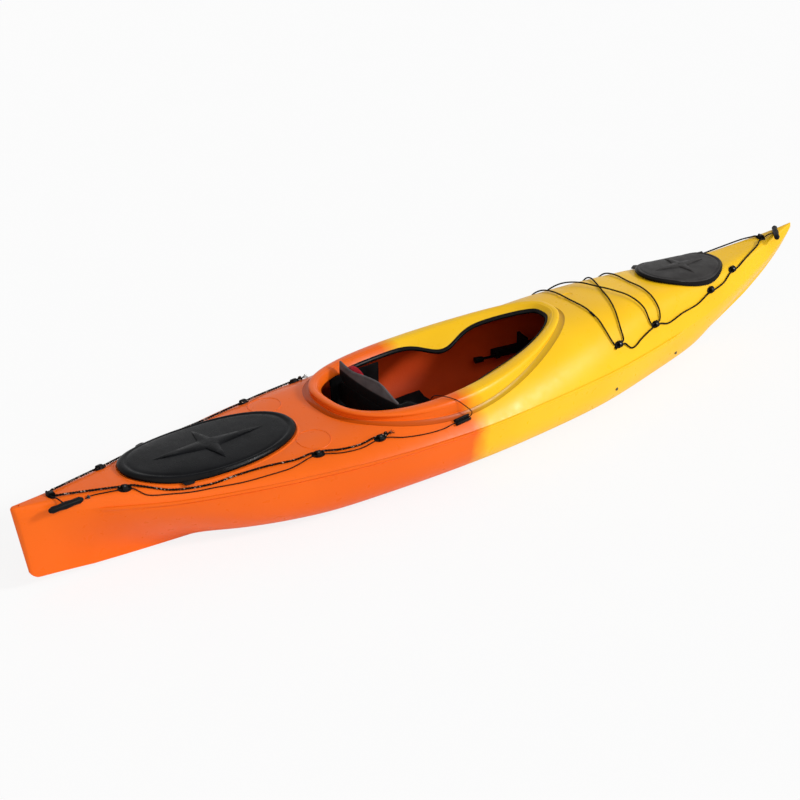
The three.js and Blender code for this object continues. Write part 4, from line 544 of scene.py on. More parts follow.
def hull_look(name, shade):
    """Two-colour moulded plastic; shade below 1 makes a darker copy for the channel, painted shade for the shadow
    there.
    """
    look = Look(name, (0.95, 0.35, 0.03), 0.34, specular=0.16)
    drift = look.maths("MULTIPLY", look.maths("SUBTRACT", look.noise(7.0, 4.0), 0.5), 0.10)
    share = look.maths("MULTIPLY_ADD", look.maths("ADD", look.parts()["X"], drift), 13.0, 2.35, True)
    tones = [[tuple(v * shade for v in tone) for tone in pair] for pair in (
        ((0.84, 0.126, 0.005), (0.90, 0.142, 0.007)), ((0.91, 0.508, 0.008), (0.96, 0.566, 0.012)))]
    orange, yellow = (look.mottle(2.2, 2.0, *pair) for pair in tones)
    wave = look.bump(look.noise(9.0, 1.0), 0.004, 0.25)
    peel = look.bump(look.noise(420.0, 2.0), 0.0005, 0.10, wave)
    return look.finish(look.mix(share, orange, yellow), look.mottle(30.0, 5.0, 0.26, 0.38, 0.3, 0.7), peel)


def inside_look():
    # Painted shade: the inside is the same plastic as outside, orange aft and yellow forward, but is given one darker,
    # redder colour for the dim inside of the hull.
    look = Look("hull_inside_painted_shade", (0.55, 0.09, 0.02), 0.6, specular=0.15)
    tone = look.mottle(6.0, 4.0, (0.52, 0.044, 0.003), (0.62, 0.058, 0.004), 0.3, 0.7)
    return look.finish(tone, None, look.bump(look.noise(160.0, 3.0), 0.001, 0.5))


def rubber_look(name, low, high, roughness):
    look = Look(name, low, roughness, specular=0.06)
    rough = look.mottle(40.0, 4.0, roughness - 0.06, roughness + 0.08, 0.3, 0.7)
    wave = look.bump(look.noise(16.0, 2.0), 0.003, 0.3)
    grain = look.bump(look.noise(900.0, 2.0), 0.0004, 0.35, wave)
    return look.finish(look.mottle(18.0, 5.0, low, high), rough, grain)


def plastic_look(name, low, high, roughness, grain=700.0, depth=0.0004, level=None):
    """Grained plastic, black below a level if one is given."""
    look = Look(name, low, roughness, specular=0.07)
    colour = look.mottle(25.0, 4.0, low, high)
    if level is not None:
        ends = {"From Min": level - 0.003, "From Max": level + 0.003}
        share = look.node("MapRange", {"Value": look.parts()["Z"], **ends}).outputs["Result"]
        colour = look.mix(share, (0.005, 0.005, 0.0055), colour)
    rough = look.mottle(60.0, 3.0, roughness - 0.05, roughness + 0.07, 0.3, 0.7)
    return look.finish(colour, rough, look.bump(look.cells(grain), depth, 0.5))


def cord_look(name, low, high, fleck, turns_around, per_metre):
    """Braid drawn over the tube's own map: u in metres along, v round it from 0 to 1."""
    look = Look(name, low, 0.75, specular=0.05)
    part = look.parts(look.node("UVMap").outputs["UV"])
    along = look.maths("MULTIPLY", part["X"], per_metre)
    around = look.maths("MULTIPLY", part["Y"], turns_around)
    one, two = (look.sine(look.maths(way, along, around), 2 * math.pi) for way in ("ADD", "SUBTRACT"))
    strands = look.maths("MULTIPLY_ADD", look.maths("MAXIMUM", one, two), 0.5, 0.5)
    spots = look.cells(0.55, look.node("CombineXYZ", {"X": along, "Y": around}).outputs[0])
    colour = look.mix(look.maths("LESS_THAN", spots, 0.28), look.mix(strands, low, high), fleck)
    return look.finish(colour, None, look.bump(strands, 0.0005, 0.8))


def weave_look(name, low, high, axes, pitch, sheen):
    look = Look(name, low, 0.85, specular=0.05)
    part = look.parts()
    one, two = (look.sine(part[axis], 2 * math.pi / pitch) for axis in axes)
    cell = look.maths("MULTIPLY_ADD", look.maths("MULTIPLY", one, two), 0.5, 0.5)
    tone = look.mix(look.noise(14.0, 4.0), low, high)
    look.shader.inputs["Sheen Weight"].default_value = sheen
    return look.finish(look.mix(look.maths("MULTIPLY", cell, 0.35), tone, high), None, look.bump(cell, 0.0006, 0.6))


def steel_look():
    look = Look("dark_steel", (0.09, 0.0909, 0.0927), 0.3, 1.0)
    stretched = look.node("Mapping", {"Vector": look.place, "Scale": (1, 1, 14)}).outputs["Vector"]
    brushed = look.noise(60.0, 3.0, stretched)
    rough = look.ramp(brushed, [(0.3, 0.22), (0.7, 0.40)])
    return look.finish(None, rough, look.bump(brushed, 0.0002, 0.3))


def foam_look():
    look = Look("bulkhead_foam", (0.012, 0.012, 0.013), 0.9, specular=0.08)
    cells = look.cells(260.0)
    tone = look.ramp(cells, [(0.1, (0.02, 0.02, 0.022)), (0.6, (0.008, 0.008, 0.009))])
    return look.finish(tone, None, look.bump(cells, 0.001, 0.6))


# The third look is the hull plastic darkened: painted shade for the channel along the coaming's foot.
HULL_LOOKS = [hull_look("hull_plastic", 1.0), inside_look(), hull_look("hull_channel_painted_shade", 0.62)]
INSIDE_SLOT, CHANNEL_SHADE_SLOT = 1, 2
stern_rubber = rubber_look("stern_cover_rubber", (0.0030, 0.0032, 0.0040), (0.0056, 0.0060, 0.0072), 0.30)
bow_rubber = rubber_look("bow_cover_rubber", (0.030, 0.028, 0.028), (0.042, 0.040, 0.039), 0.44)
trim_rubber = rubber_look("trim_rubber", (0.0035, 0.0032, 0.0032), (0.0060, 0.0055, 0.0055), 0.24)
black_plastic = plastic_look("black_plastic", (0.0035, 0.0035, 0.0038), (0.0065, 0.0064, 0.0068), 0.40)
grey_plastic = plastic_look("backrest_plastic", (0.088, 0.078, 0.081), (0.116, 0.104, 0.107), 0.6,
                            grain=420.0, depth=0.0007, level=0.333)
twisted_cord = cord_look("cord", (0.003, 0.0022, 0.0018), (0.010, 0.0075, 0.006), (0.48, 0.36, 0.29), 3.0, 200.0)
plain_cord = cord_look("plain_cord", (0.003, 0.0026, 0.0024), (0.009, 0.008, 0.0075), (0.03, 0.024, 0.02), 4.0, 240.0)
red_fabric = weave_look("pad_fabric", (0.42, 0.006, 0.016), (0.56, 0.014, 0.030), ("Y", "Z"), 0.0022, 0.15)
black_fabric = weave_look("seat_fabric", (0.004, 0.004, 0.0045), (0.009, 0.009, 0.010), ("X", "Y"), 0.0030, 0.08)
dark_steel = steel_look()
foam = foam_look()
piping_look = plastic_look("backrest_piping", (0.075, 0.068, 0.068), (0.11, 0.10, 0.10), 0.5)

# Hull and deck

SIDE_STEPS = np.concatenate([np.linspace(0, 0.95, 38), np.linspace(0.955, 0.996, 26), [0.998, 1.0]])
DECK_SHARES = np.concatenate([[1, 0.997, 0.992, 0.985, 0.975, 0.962, 0.945, 0.925, 0.90], np.linspace(0.87, 0, 22)])
INNER_SHARES = np.array([1, 0.985, 0.94, 0.86, 0.74, 0.56, 0.3, 0])
STERN_ROUND, BOW_ROUND, HEEL_ROUND = 0.014, 0.006, 0.034
HULL_SPANS, HOLLOW_SPANS, COAMING_STEPS, HATCH_STEPS, COVER_STEPS = 250, 70, 220, 120, 150
EVEN_SHARE = 0.35
SURROUND_OUT, SURROUND_HALF, SURROUND_RISE, SURROUND_STEPS = 0.008, 0.0075, 0.0025, 140
GROOVE_HALF, GROOVE_END_GROWTH, GROOVE_END_OUT, GROOVE_DEPTH = 0.010, 0.005, 0.009, 0.0044
RING_X, RING_Y, RING_RADIUS, RING_HALF, RING_RISE, RING_STEPS = -0.742, 0.150, 0.059, 0.0021, 0.0017, 72
PIN_HOLE_X, PIN_HOLE_RADIUS, PIN_HOLE_DEPTH, PIN_HOLE_STEPS = -1.772, 0.0042, 0.02, 24
BOLT_PLACES, BOLT_HEIGHT = ((0.578, 0.262), (0.978, 0.177)), 0.128
BOLT_RADIUS, BOLT_DEPTH, BOLT_STEPS = 0.0035, 0.03, 16
DISH_X, DISH_Y, DISH_LENGTH, DISH_WIDTH, DISH_DEPTH = 0.575, 0.045, 0.072, 0.030, 0.003
HULL_CREASE, TRIM_CREASE, COVER_CREASE, FITTING_CREASE = 35, 40, 30, 38


def even_places(spans, stern_share, bow_share):
    """Stations along the hull, closer together at both ends."""
    turn = (np.arange(spans + 1) / spans - 0.5) * math.pi
    share = EVEN_SHARE * 2 * turn / math.pi + (1 - EVEN_SHARE) * np.sin(turn)
    return np.where(share < 0, share * stern_share, share * bow_share) * HALF_LENGTH


def hull_skin():
    places = even_places(HULL_SPANS, 1, 1)
    near = STERN_ROUND * (1 - np.cos(np.linspace(0.12, 1.5, 7)))
    far = BOW_ROUND * (1 - np.cos(np.linspace(0.12, 1.5, 5)))
    inner = places[(places > -HALF_LENGTH + STERN_ROUND * 1.2) & (places < HALF_LENGTH - BOW_ROUND * 1.2)]
    places = np.concatenate([-HALF_LENGTH + near, inner, (HALF_LENGTH - far)[::-1]])
    sections = []
    for x in places:
        half = half_section(x, SIDE_STEPS, DECK_SHARES, LEDGE)
        reach = min((x + HALF_LENGTH) / STERN_ROUND, (HALF_LENGTH - x) / BOW_ROUND, 1)
        ease = math.sqrt(max(1 - (1 - reach) ** 2, 0.01))
        half[:, 0] *= ease
        foot = half[0, 1]
        half[:, 1] = foot + (half[:, 1] - foot) * (0.975 + 0.025 * ease)
        heel = min((x + HALF_LENGTH) / HEEL_ROUND, 1)
        lift = HEEL_ROUND * (1 - math.sqrt(1 - (1 - heel) ** 2))
        half[:, 1] = np.maximum(half[:, 1], foot + lift * (1 - smooth(0, 0.09, half[:, 1] - foot)))
        sections.append(whole_section(x, half))
    return make_mesh("hull_and_deck_skin", *loft(sections), HULL_LOOKS)


def hull_hollow():
    sides = np.linspace(0, 1, 15)
    sections = []
    for x in even_places(HOLLOW_SPANS, 0.95, 0.94):
        half = moved_corners(half_section(x, sides, INNER_SHARES, 0), -WALL, False)
        narrow = WALL * 0.7
        first = int(np.argmax(half[:, 0] >= narrow))
        for i in range(first):
            half[i] = [narrow * (i + 1) / (first + 1), half[first, 1]]
        sections.append(whole_section(x, half))
    vertices, faces = loft(sections)
    return make_mesh("hollow", vertices, faces, HULL_LOOKS, [INSIDE_SLOT] * len(faces))


def collar(hatch):
    plan = oval_plan(hatch)
    sections = []
    for turn in turns(HATCH_STEPS):
        deck = deck_at(*beside(plan, turn, -COLLAR_INSET))
        inner = deck_at(*beside(plan, turn, -COLLAR_INSET - COLLAR_WALL))
        top, foot = deck + COLLAR_RISE, deck - WALL * 0.6
        low = min(inner - WALL * 0.6, top - BEAD_HEIGHT)
        profile = np.array([[-BEAD_REACH, foot], [-BEAD_REACH, top - BEAD_HEIGHT], [0, top - BEAD_HEIGHT * 0.6],
                            [0, top], [-COLLAR_WALL, top], [-COLLAR_WALL, low]])
        profile[:, 0] -= COLLAR_INSET
        sections.append(stand(plan, turn, profile))
    return make_mesh("collar", *loft(sections, True), HULL_LOOKS)


def deck_band(plan, shares, reach_at, rise, steps, slot=0):
    """A low ridge or a shallow channel of the deck along a plan curve, as shares of (out, up)."""
    sections = []
    for turn in turns(steps):
        rows = []
        for out, up in shares:
            reach = reach_at(turn, out)
            rows.append([reach, deck_at(*beside(plan, turn, reach)) + up * rise])
        sections.append(stand(plan, turn, np.array(rows)))
    vertices, faces = loft(sections, True)
    return make_mesh("band", vertices, faces, HULL_LOOKS, [slot] * len(faces))


def surround():
    """The low ridge round the stern hatch."""
    shares = [(-1, -1), (-0.8, -0.25), (-0.62, 0.45), (-0.4, 0.88), (-0.1, 1),
              (0.2, 0.9), (0.5, 0.5), (0.78, -0.2), (1, -1)]
    plan = oval_plan(STERN_HATCH)
    return deck_band(plan, shares, lambda turn, out: SURROUND_OUT + out * SURROUND_HALF, SURROUND_RISE, SURROUND_STEPS)


def coaming():
    sections = [stand(coaming_plan, turn, rounded(coaming_profile(turn))) for turn in turns(COAMING_STEPS)]
    return make_mesh("coaming", *loft(sections, True), HULL_LOOKS)


def coaming_groove():
    """The channel in the deck along the coaming's foot, wider and further out at both ends."""
    shares = [(-1, 1), (-0.85, -0.2), (-0.5, -0.85), (0, -1), (0.45, -0.8), (0.8, -0.15), (1, 1)]

    def reach_at(turn, out):
        ends = 1 - coaming_lean(turn)
        half = GROOVE_HALF + GROOVE_END_GROWTH * ends
        return -coaming_foot(turn) + half * 0.9 + GROOVE_END_OUT * ends + half * out

    # The channel's faces take the darkened hull look, a painted shade.
    return deck_band(coaming_plan, shares, reach_at, GROOVE_DEPTH, COAMING_STEPS, CHANNEL_SHADE_SLOT)


def ring_mark(side):
    """Thin raised ring on the deck."""
    shares = [(-1, -1), (-0.75, 0.1), (-0.45, 0.75), (0, 1), (0.45, 0.75), (0.75, 0.1), (1, -1)]

    def plan(turn):
        return np.array([RING_X + RING_RADIUS * math.cos(turn), side * RING_Y + RING_RADIUS * math.sin(turn)])

    return deck_band(plan, shares, lambda turn, out: RING_HALF * out, RING_RISE, RING_STEPS)


def disc_tool(centre, axis, radius, depth, steps):
    """A round cutter: centre is on the surface, axis points out of it."""
    axis = Vector(axis).normalized()
    turn = axis.to_track_quat("Z", "Y").to_matrix()
    levels = []
    for z in (-depth, depth):
        corners = [Vector((radius * math.cos(a), radius * math.sin(a), z)) for a in turns(steps)]
        levels.append(np.array([tuple(Vector(centre) + turn @ corner) for corner in corners]))
    return make_mesh("disc", *loft(levels), HULL_LOOKS)


def deck_recess():
    """The shallow dish with a rounded outline, sunk into the foredeck."""
    levels = []
    for grow, lift in ((0.80, -1), (1.0, -0.2), (1.12, 2.5)):
        ring = []
        for a in turns(40):
            x = DISH_X + grow * DISH_LENGTH / 2 * powered(math.cos(a), 0.5)
            y = DISH_Y + grow * DISH_WIDTH / 2 * powered(math.sin(a), 0.5)
            ring.append([x, y, deck_at(x, y) + lift * DISH_DEPTH])
        levels.append(np.array(ring))
    return make_mesh("dish", *loft(levels), HULL_LOOKS)


def hull_piece():
    hull = hull_skin()
    low, high = float(ridge(0)) + WALL, HEIGHT + 0.03
    cockpit = plan_cutter(coaming_plan, lambda turn: coaming_foot(turn) + WALL / 2, low, high, COAMING_STEPS)
    steps = [("DIFFERENCE", hull_hollow()), ("DIFFERENCE", cockpit), ("UNION", surround())]
    inset = COLLAR_INSET + COLLAR_WALL / 2 + BEAD_REACH / 2
    for hatch in (STERN_HATCH, BOW_HATCH):
        steps.append(("DIFFERENCE", plan_cutter(oval_plan(hatch), lambda turn: inset, low, high, HATCH_STEPS)))
        steps.append(("UNION", collar(hatch)))
    steps += [("DIFFERENCE", coaming_groove()), ("UNION", coaming())]
    steps += [("UNION", ring_mark(1)), ("UNION", ring_mark(-1))]
    pin_place = (PIN_HOLE_X, 0, deck_at(PIN_HOLE_X, 0))
    steps.append(("DIFFERENCE", disc_tool(pin_place, (0, 0, 1), PIN_HOLE_RADIUS, PIN_HOLE_DEPTH, PIN_HOLE_STEPS)))
    steps.append(("DIFFERENCE", deck_recess()))
    for x, y in BOLT_PLACES:
        for side in (1, -1):
            hole = disc_tool((x, side * y, BOLT_HEIGHT), (0, side, 0), BOLT_RADIUS, BOLT_DEPTH, BOLT_STEPS)
            steps.append(("DIFFERENCE", hole))
    combine(hull, *steps)
    hull.name = "hull_and_deck_moulding"
    soften(hull, HULL_CREASE)
    modify(hull, "WEIGHTED_NORMAL", mode="FACE_AREA", keep_sharp=True)
    settle(hull, "hull", "hull_and_deck")


hull_piece()


# Edge trim of the cockpit

def cockpit_trim():
    """Black rubber over the cockpit's edge, left open behind the seat."""
    half, rim, open_share = 0.0075, 0.0085, 7.5 / 24
    profile = rounded([[rim, half], [-rim * 0.5, half], [-rim * 1.05, half * 0.45],
                       [-rim * 1.05, -half * 0.45], [-rim * 0.5, -half], [rim, -half]])
    sections = []
    for turn in np.linspace(math.pi * (1 + open_share), math.pi * (3 - open_share), COAMING_STEPS):
        inner, upper, lower = stand(coaming_plan, turn, coaming_profile(turn)[EDGE_CORNERS])
        nx, ny = plan_normal(coaming_plan, turn)
        slope = Vector(upper - inner).normalized() * -1
        middle = Vector((upper + lower) / 2)
        normal = Vector((-ny, nx, 0)).cross(slope).normalized()
        if normal.z < 0:
            normal = -normal
        sections.append(np.array([tuple(middle + slope * a + normal * b) for a, b in profile]))
    trim = make_mesh("cockpit_edge_trim_rubber", *loft(sections), [trim_rubber])
    soften(trim, TRIM_CREASE)
    settle(trim, "hull", "cockpit_edge_trim")


cockpit_trim()


# Hatch covers

COVER_TOP = [
    (0.03, 0), (0.15, 0), (0.3, 0), (0.45, 0), (0.6, 0), (0.7, 0), (0.78, 0), (0.84, 0), (0.88, 0),
    (0.895, 0.0010), (0.91, 0.0018), (0.925, 0.0010), (0.935, -0.0006), (0.95, -0.0014), (0.965, -0.0014),
    (0.98, -0.0004), (0.992, 0.0016), (1.0, 0.0042),
]
COVER_SIDE = [
    (-0.0020, 0.0125), (-0.0028, 0.0095), (-0.0024, 0.0062), (-0.0006, 0.0032),
    (COVER_SKIRT * 0.5, SKIRT_GAP - 0.0005), (COVER_SKIRT, SKIRT_GAP), (COVER_SKIRT, COVER_RISE - COVER_WALL),
]
COVER_TOP_SPANS = 15
TAB_LEVELS = [
    (-0.006, 0.021, 0.0022), (0.006, 0.021, 0.0022), (0.012, 0.0205, 0.0022),
    (0.0165, 0.018, 0.003), (0.0195, 0.016, 0.0028), (0.021, 0.013, 0.0010),
]
COVER_RIBS = [(0, 0.65, 0.030), (180, 0.65, 0.030), (90, 0.66, 0.034), (270, 0.66, 0.034)]
RIB_COVER_WIDTH, RIB_TIP, RIB_RISE, RIB_LEAST = 0.324, 0.0012, 0.0042, 0.0004


def hatch_cover(hatch, material, body, slot_name):
    """Rubber cover: rings of (share, drop) on top, (inset, height) down the side, then its underside."""
    looks = [material, trim_rubber]

    def ring(share, inset, height):
        rows = []
        for turn in turns(COVER_STEPS):
            px, py = oval_plan(hatch, inset)(turn)
            x, y = hatch["centre"] + (px - hatch["centre"]) * share, py * share
            rows.append([x, y, deck_at(x, y) + height + COVER_CROWN * (1 - share * share)])
        return np.array(rows)

    rings = [ring(share, 0, COVER_RISE - drop) for share, drop in COVER_TOP]
    rings += [ring(1, inset, height) for inset, height in COVER_SIDE]
    rings += [ring(share, COVER_SKIRT, COVER_RISE - COVER_WALL) for share in (0.8, 0.4, 0.03)]
    vertices, faces = loft(rings)
    slots = [int(i >= COVER_STEPS * COVER_TOP_SPANS) for i in range(len(faces))]
    cover = make_mesh(slot_name + "_piece", vertices, faces, looks, slots)
    joins = []
    for side in hatch["sides"]:
        turn = math.pi * hatch["tab"] * side
        x, y = oval_plan(hatch)(turn)
        nx, ny = plan_normal(oval_plan(hatch), turn)
        out, along = Vector((nx, ny, -0.14)).normalized(), Vector((-ny, nx, 0))
        up = along.cross(out) * (1 if along.cross(out).z > 0 else -1)
        base = Vector((x, y, deck_at(x, y) + COVER_RISE / 2))
        levels = []
        for reach, half, thick in TAB_LEVELS:
            outline = rounded([(half, thick), (-half, thick), (-half, -thick), (half, -thick)])
            levels.append(np.array([tuple(base + out * reach + along * a + up * b) for a, b in outline]))
        joins.append(("UNION", make_mesh("tab", *loft(levels), looks)))
    for angle, length_share, root in COVER_RIBS:
        joins.append(("UNION", cover_rib(hatch, math.radians(angle), length_share, root, looks)))
    combine(cover, *joins)
    cover.name = hatch["name"] + "_rubber"
    soften(cover, COVER_CREASE)
    settle(cover, body, hatch["name"])


def cover_rib(hatch, angle, length_share, root, looks):
    """One tapered stiffening rib, from the middle of a cover outwards."""
    half_size = np.array([hatch["length"] / 2, hatch["width"] / 2])
    way = np.array([math.cos(angle), math.sin(angle)])
    size = length_share / np.linalg.norm(way / half_size)
    square = np.array([-way[1], way[0]])
    root = root * hatch["width"] / RIB_COVER_WIDTH
    sections = []
    for share in np.linspace(-0.04, 1, 16):
        half = root * (1 - max(share, 0)) + RIB_TIP
        rise = RIB_RISE * min(1, (1 - share) * 4) + RIB_LEAST
        rows = []
        for across, up in ((1, -0.003), (1, -0.0004), (0.93, rise * 0.7), (0.8, rise), (0, rise * 1.25),
                           (-0.8, rise), (-0.93, rise * 0.7), (-1, -0.0004), (-1, -0.003)):
            spot = way * size * share + square * half * across
            x, y = hatch["centre"] + spot[0], spot[1]
            far = np.linalg.norm(spot / half_size)
            rows.append([x, y, deck_at(x, y) + COVER_RISE + COVER_CROWN * (1 - far * far) + up])
        sections.append(np.array(rows))
    return make_mesh("rib", *loft(sections), looks)


hatch_cover(STERN_HATCH, stern_rubber, "stern_hatch", "stern_cover_rubber")
hatch_cover(BOW_HATCH, bow_rubber, "bow_hatch", "bow_cover_rubber")


# Deck fittings

FITTING_LENGTH, FITTING_WIDTH, FITTING_BASE = 0.048, 0.027, 0.003
BRIDGE_LENGTH, BRIDGE_HEIGHT = 0.018, 0.014
TUNNEL_RADIUS, TUNNEL_OFFSET = 0.0044, 0.0066
TUNNEL_HEIGHT = FITTING_BASE + TUNNEL_RADIUS * math.cos(math.pi / 6)
LINE_RADIUS, BUNGEE_RADIUS, THIN_RADIUS = 0.0028, 0.0026, 0.0016
GAP = 0.0003
FITTINGS = {
    "stern_side_fitting_1": (-1.43598, 0.08015, -17), "stern_side_fitting_2": (-0.77798, 0.22823, -12),
    "stern_side_fitting_3": (-0.54000, 0.25803, -4), "bow_side_fitting_1": (0.59999, 0.23818, 9),
    "bow_side_fitting_2": (0.82799, 0.20000, 12), "bow_side_fitting_3": (1.20001, 0.13200, 16),
    "bow_side_fitting_4": (1.36601, 0.08802, 18),
}
STERN_PLACES, BOW_PLACES = ([(x, -y) for name, (x, y, _) in FITTINGS.items() if name.startswith(end)]
                            for end in ("stern", "bow"))
STERN_END, BOW_END = (-1.65799, 0), (1.62201, 0)
CLEAT, EYE = (-0.212, -0.29801), (-1.55598, -0.05947)


def fitting_frame(x, y, degrees):
    up = deck_normal(x, y)
    ahead = Vector((math.cos(math.radians(degrees)), math.sin(math.radians(degrees)), 0))
    ahead = (ahead - up * ahead.dot(up)).normalized()
    side = up.cross(ahead)
    at = Vector((x, y, deck_at(x, y)))
    return placed(ahead, side, up, at)


frames = {}
for name, (x, y, degrees) in FITTINGS.items():
    frames[name + "_port"] = fitting_frame(x, y, -degrees)
    frames[name + "_starboard"] = fitting_frame(x, -y, degrees)
frames["stern_end_fitting"] = fitting_frame(*STERN_END, 90)
frames["bow_end_fitting"] = fitting_frame(*BOW_END, 90)


FITTING_LOOKS = [black_plastic, dark_steel]
STEEL_SLOT = 1
WELL_RADIUS, HEAD_STEPS = 0.0046, 28
SLOT_HALF_LENGTH, SLOT_HALF_WIDTH = 0.0022, 0.0005


def round_levels(levels, steps, squash=(1, 1)):
    """Round outlines for levels of (radius, height)."""
    return [np.array([[r * squash[0] * math.cos(a), r * squash[1] * math.sin(a), z] for a in turns(steps)])
            for r, z in levels]


def fitting_part(sections, slot=0):
    vertices, faces = loft(sections)
    return make_mesh("fitting", vertices, faces, FITTING_LOOKS, [slot] * len(faces))


def fitting_mesh():
    """Oval base, bridge with a tunnel on each side, and a sunk screw with a crossed slot."""
    half, top = FITTING_WIDTH / 2, BRIDGE_HEIGHT
    fitting = fitting_part(round_levels(
        [(1, -0.006), (1, 0.0016), (0.975, 0.0024), (0.93, 0.0029), (0.85, 0.003)], 44, (FITTING_LENGTH / 2, half)))
    arch = rounded([[-half, 0], [half, 0], [half * 0.98, top * 0.55], [half * 0.62, top],
                    [-half * 0.62, top], [-half * 0.98, top * 0.55]])
    bridge = [np.array([[x * BRIDGE_LENGTH / 2, y * grow, z * grow] for y, z in arch])
              for x, grow in ((-1, 0.93), (-0.93, 0.98), (-0.8, 1), (0.8, 1), (0.93, 0.98), (1, 0.93))]
    steps = [("UNION", fitting_part(bridge))]
    for side in (1, -1):
        tunnel = [np.array([[x, side * TUNNEL_OFFSET + TUNNEL_RADIUS * math.cos(a),
                             TUNNEL_HEIGHT + TUNNEL_RADIUS * math.sin(a)] for a in turns(20)])
                  for x in (-0.02, 0.02)]
        steps.append(("DIFFERENCE", fitting_part(tunnel)))
    well = round_levels([(WELL_RADIUS, top - 0.0022), (WELL_RADIUS, top + 0.004)], HEAD_STEPS)
    head = round_levels([(0.0042, top - 0.0035), (0.0042, top - 0.0012), (0.0036, top - 0.0005),
                         (0.002, top - 0.0002)], HEAD_STEPS)
    steps += [("DIFFERENCE", fitting_part(well)), ("UNION", fitting_part(head, STEEL_SLOT))]
    for turn in (0, math.pi / 2):
        c, s = math.cos(turn), math.sin(turn)
        corners = [(a * SLOT_HALF_LENGTH, b * SLOT_HALF_WIDTH) for a, b in ((-1, -1), (1, -1), (1, 1), (-1, 1))]
        bar = [np.array([[c * x - s * y, s * x + c * y, z] for x, y in corners])
               for z in (top - 0.0016, top + 0.004)]
        steps.append(("DIFFERENCE", fitting_part(bar)))
    combine(fitting, *steps)
    soften(fitting, FITTING_CREASE)
    return fitting


master = fitting_mesh()
for name, place in frames.items():
    copy = add_object(name + "_moulded", master.data)
    copy.matrix_world = place
    settle(copy, "hull", name)
bpy.data.objects.remove(master)


# Lines

def route(stops, pieces=6):
    """Smooth curve through the stops, with even shares of each span, as the solids' routes have."""
    p = [Vector(s) for s in stops]
    p = [p[0] * 2 - p[1]] + p + [p[-1] * 2 - p[-2]]
    out = []
    for i in range(1, len(p) - 2):
        p0, p1, p2, p3 = p[i - 1:i + 3]
        d0, d1, d2 = (max((b - a).length ** 0.5, 1e-4) for a, b in ((p0, p1), (p1, p2), (p2, p3)))
        t1 = ((p1 - p0) / d0 - (p2 - p0) / (d0 + d1) + (p2 - p1) / d1) * d1
        t2 = ((p2 - p1) / d1 - (p3 - p1) / (d1 + d2) + (p3 - p2) / d2) * d1
        for k in range(pieces):
            t = k / pieces
            out.append(p1 * (2 * t ** 3 - 3 * t ** 2 + 1) + p2 * (3 * t ** 2 - 2 * t ** 3)
                       + t1 * (t ** 3 - 2 * t ** 2 + t) + t2 * (t ** 3 - t ** 2))
    out.append(p[-2])
    return np.array([tuple(v) for v in out])


def distances(points):
    """How far along a curve each of its points is."""
    return np.concatenate([[0], np.cumsum(np.linalg.norm(np.diff(points, axis=0), axis=1))])


def even(points, step):
    """The same curve with points at an even distance."""
    at = distances(points)
    places = np.linspace(0, at[-1], max(int(round(at[-1] / step)), 2) + 1)
    return np.stack([np.interp(places, at, points[:, k]) for k in range(3)], 1)


def walk(points):
    """Directions and two square sideways directions along a curve, without twist."""
    ways = np.gradient(points, axis=0)
    ways /= np.linalg.norm(ways, axis=1)[:, None]
    side = np.cross(ways[0], [0, 0, 1.0])
    if np.linalg.norm(side) < 1e-3:
        side = np.cross(ways[0], [0, 1.0, 0])
    sides = []
    for way in ways:
        side = side - way * np.dot(side, way)
        side = side / np.linalg.norm(side)
        sides.append(side)
    sides = np.array(sides)
    return ways, sides, np.cross(ways, sides)


def tube_parts(points, radius, around):
    """Vertices, faces and map of a tube with blunted ends."""
    ways, sides, ups = walk(points)
    blunt = radius * 0.5
    points = np.concatenate([[points[0] - ways[0] * blunt], points, [points[-1] + ways[-1] * blunt]])
    radii = np.full(len(points), float(radius))
    radii[[0, -1]] *= 0.55
    sides, ups = (np.concatenate([a[:1], a, a[-1:]]) for a in (sides, ups))
    at = distances(points)
    turn = np.arange(around) * 2 * math.pi / around
    ring = (sides[:, None] * np.cos(turn)[None, :, None] + ups[:, None] * np.sin(turn)[None, :, None])
    vertices = (points[:, None] + ring * radii[:, None, None]).reshape(-1, 3)
    faces, maps = [], []
    for i in range(len(points) - 1):
        for j in range(around):
            k = (j + 1) % around
            faces.append((i * around + j, (i + 1) * around + j, (i + 1) * around + k, i * around + k))
            here, after = j / around, (j + 1) / around
            maps += [(at[i], here), (at[i + 1], here), (at[i + 1], after), (at[i], after)]
    faces.append(tuple(range(around)))
    faces.append(tuple(range(len(points) * around - 1, (len(points) - 1) * around - 1, -1)))
    maps += [(0, j / around) for j in range(around)] + [(at[-1], j / around) for j in range(around)]
    return vertices, faces, maps


def tube_piece(name, tubes, material, node=None, body="hull"):
    """One piece of one or more tubes, each (points, radius, sides)."""
    vertices, faces, maps, start = [], [], [], 0
    for points, radius, around in tubes:
        v, f, m = tube_parts(np.asarray(points, float), radius, around)
        vertices.append(v)
        faces += [tuple(i + start for i in face) for face in f]
        maps += m
        start += len(v)
    mesh = bpy.data.meshes.new(name)
    mesh.from_pydata(np.concatenate(vertices).tolist(), [], faces)
    layer = mesh.uv_layers.new(name="UVMap")
    layer.data.foreach_set("uv", np.array(maps, np.float32).ravel())
    mesh.materials.append(material)
    mesh.shade_smooth()
    return settle(add_object(name, mesh), body, node)


def helix(points, offset, pitch, phase):
    """A strand that winds round a curve."""
    _, sides, ups = walk(points)
    turn = (distances(points) / pitch * 2 * math.pi + phase)[:, None]
    return points + offset * (sides * np.cos(turn) + ups * np.sin(turn))


def stopper(place, size, way):
    """A small overhand knot: a closed trefoil line round a place."""
    way = Vector(way).normalized()
    turn = way.to_track_quat("Z", "Y").to_matrix()
    rows = []
    for t in np.linspace(0, 2 * math.pi, 40):
        p = Vector((math.sin(t) + 2 * math.sin(2 * t), math.cos(t) - 2 * math.cos(2 * t), -1.3 * math.sin(3 * t)))
        rows.append(tuple(Vector(place) + turn @ (p * size / 3)))
    return np.array(rows)


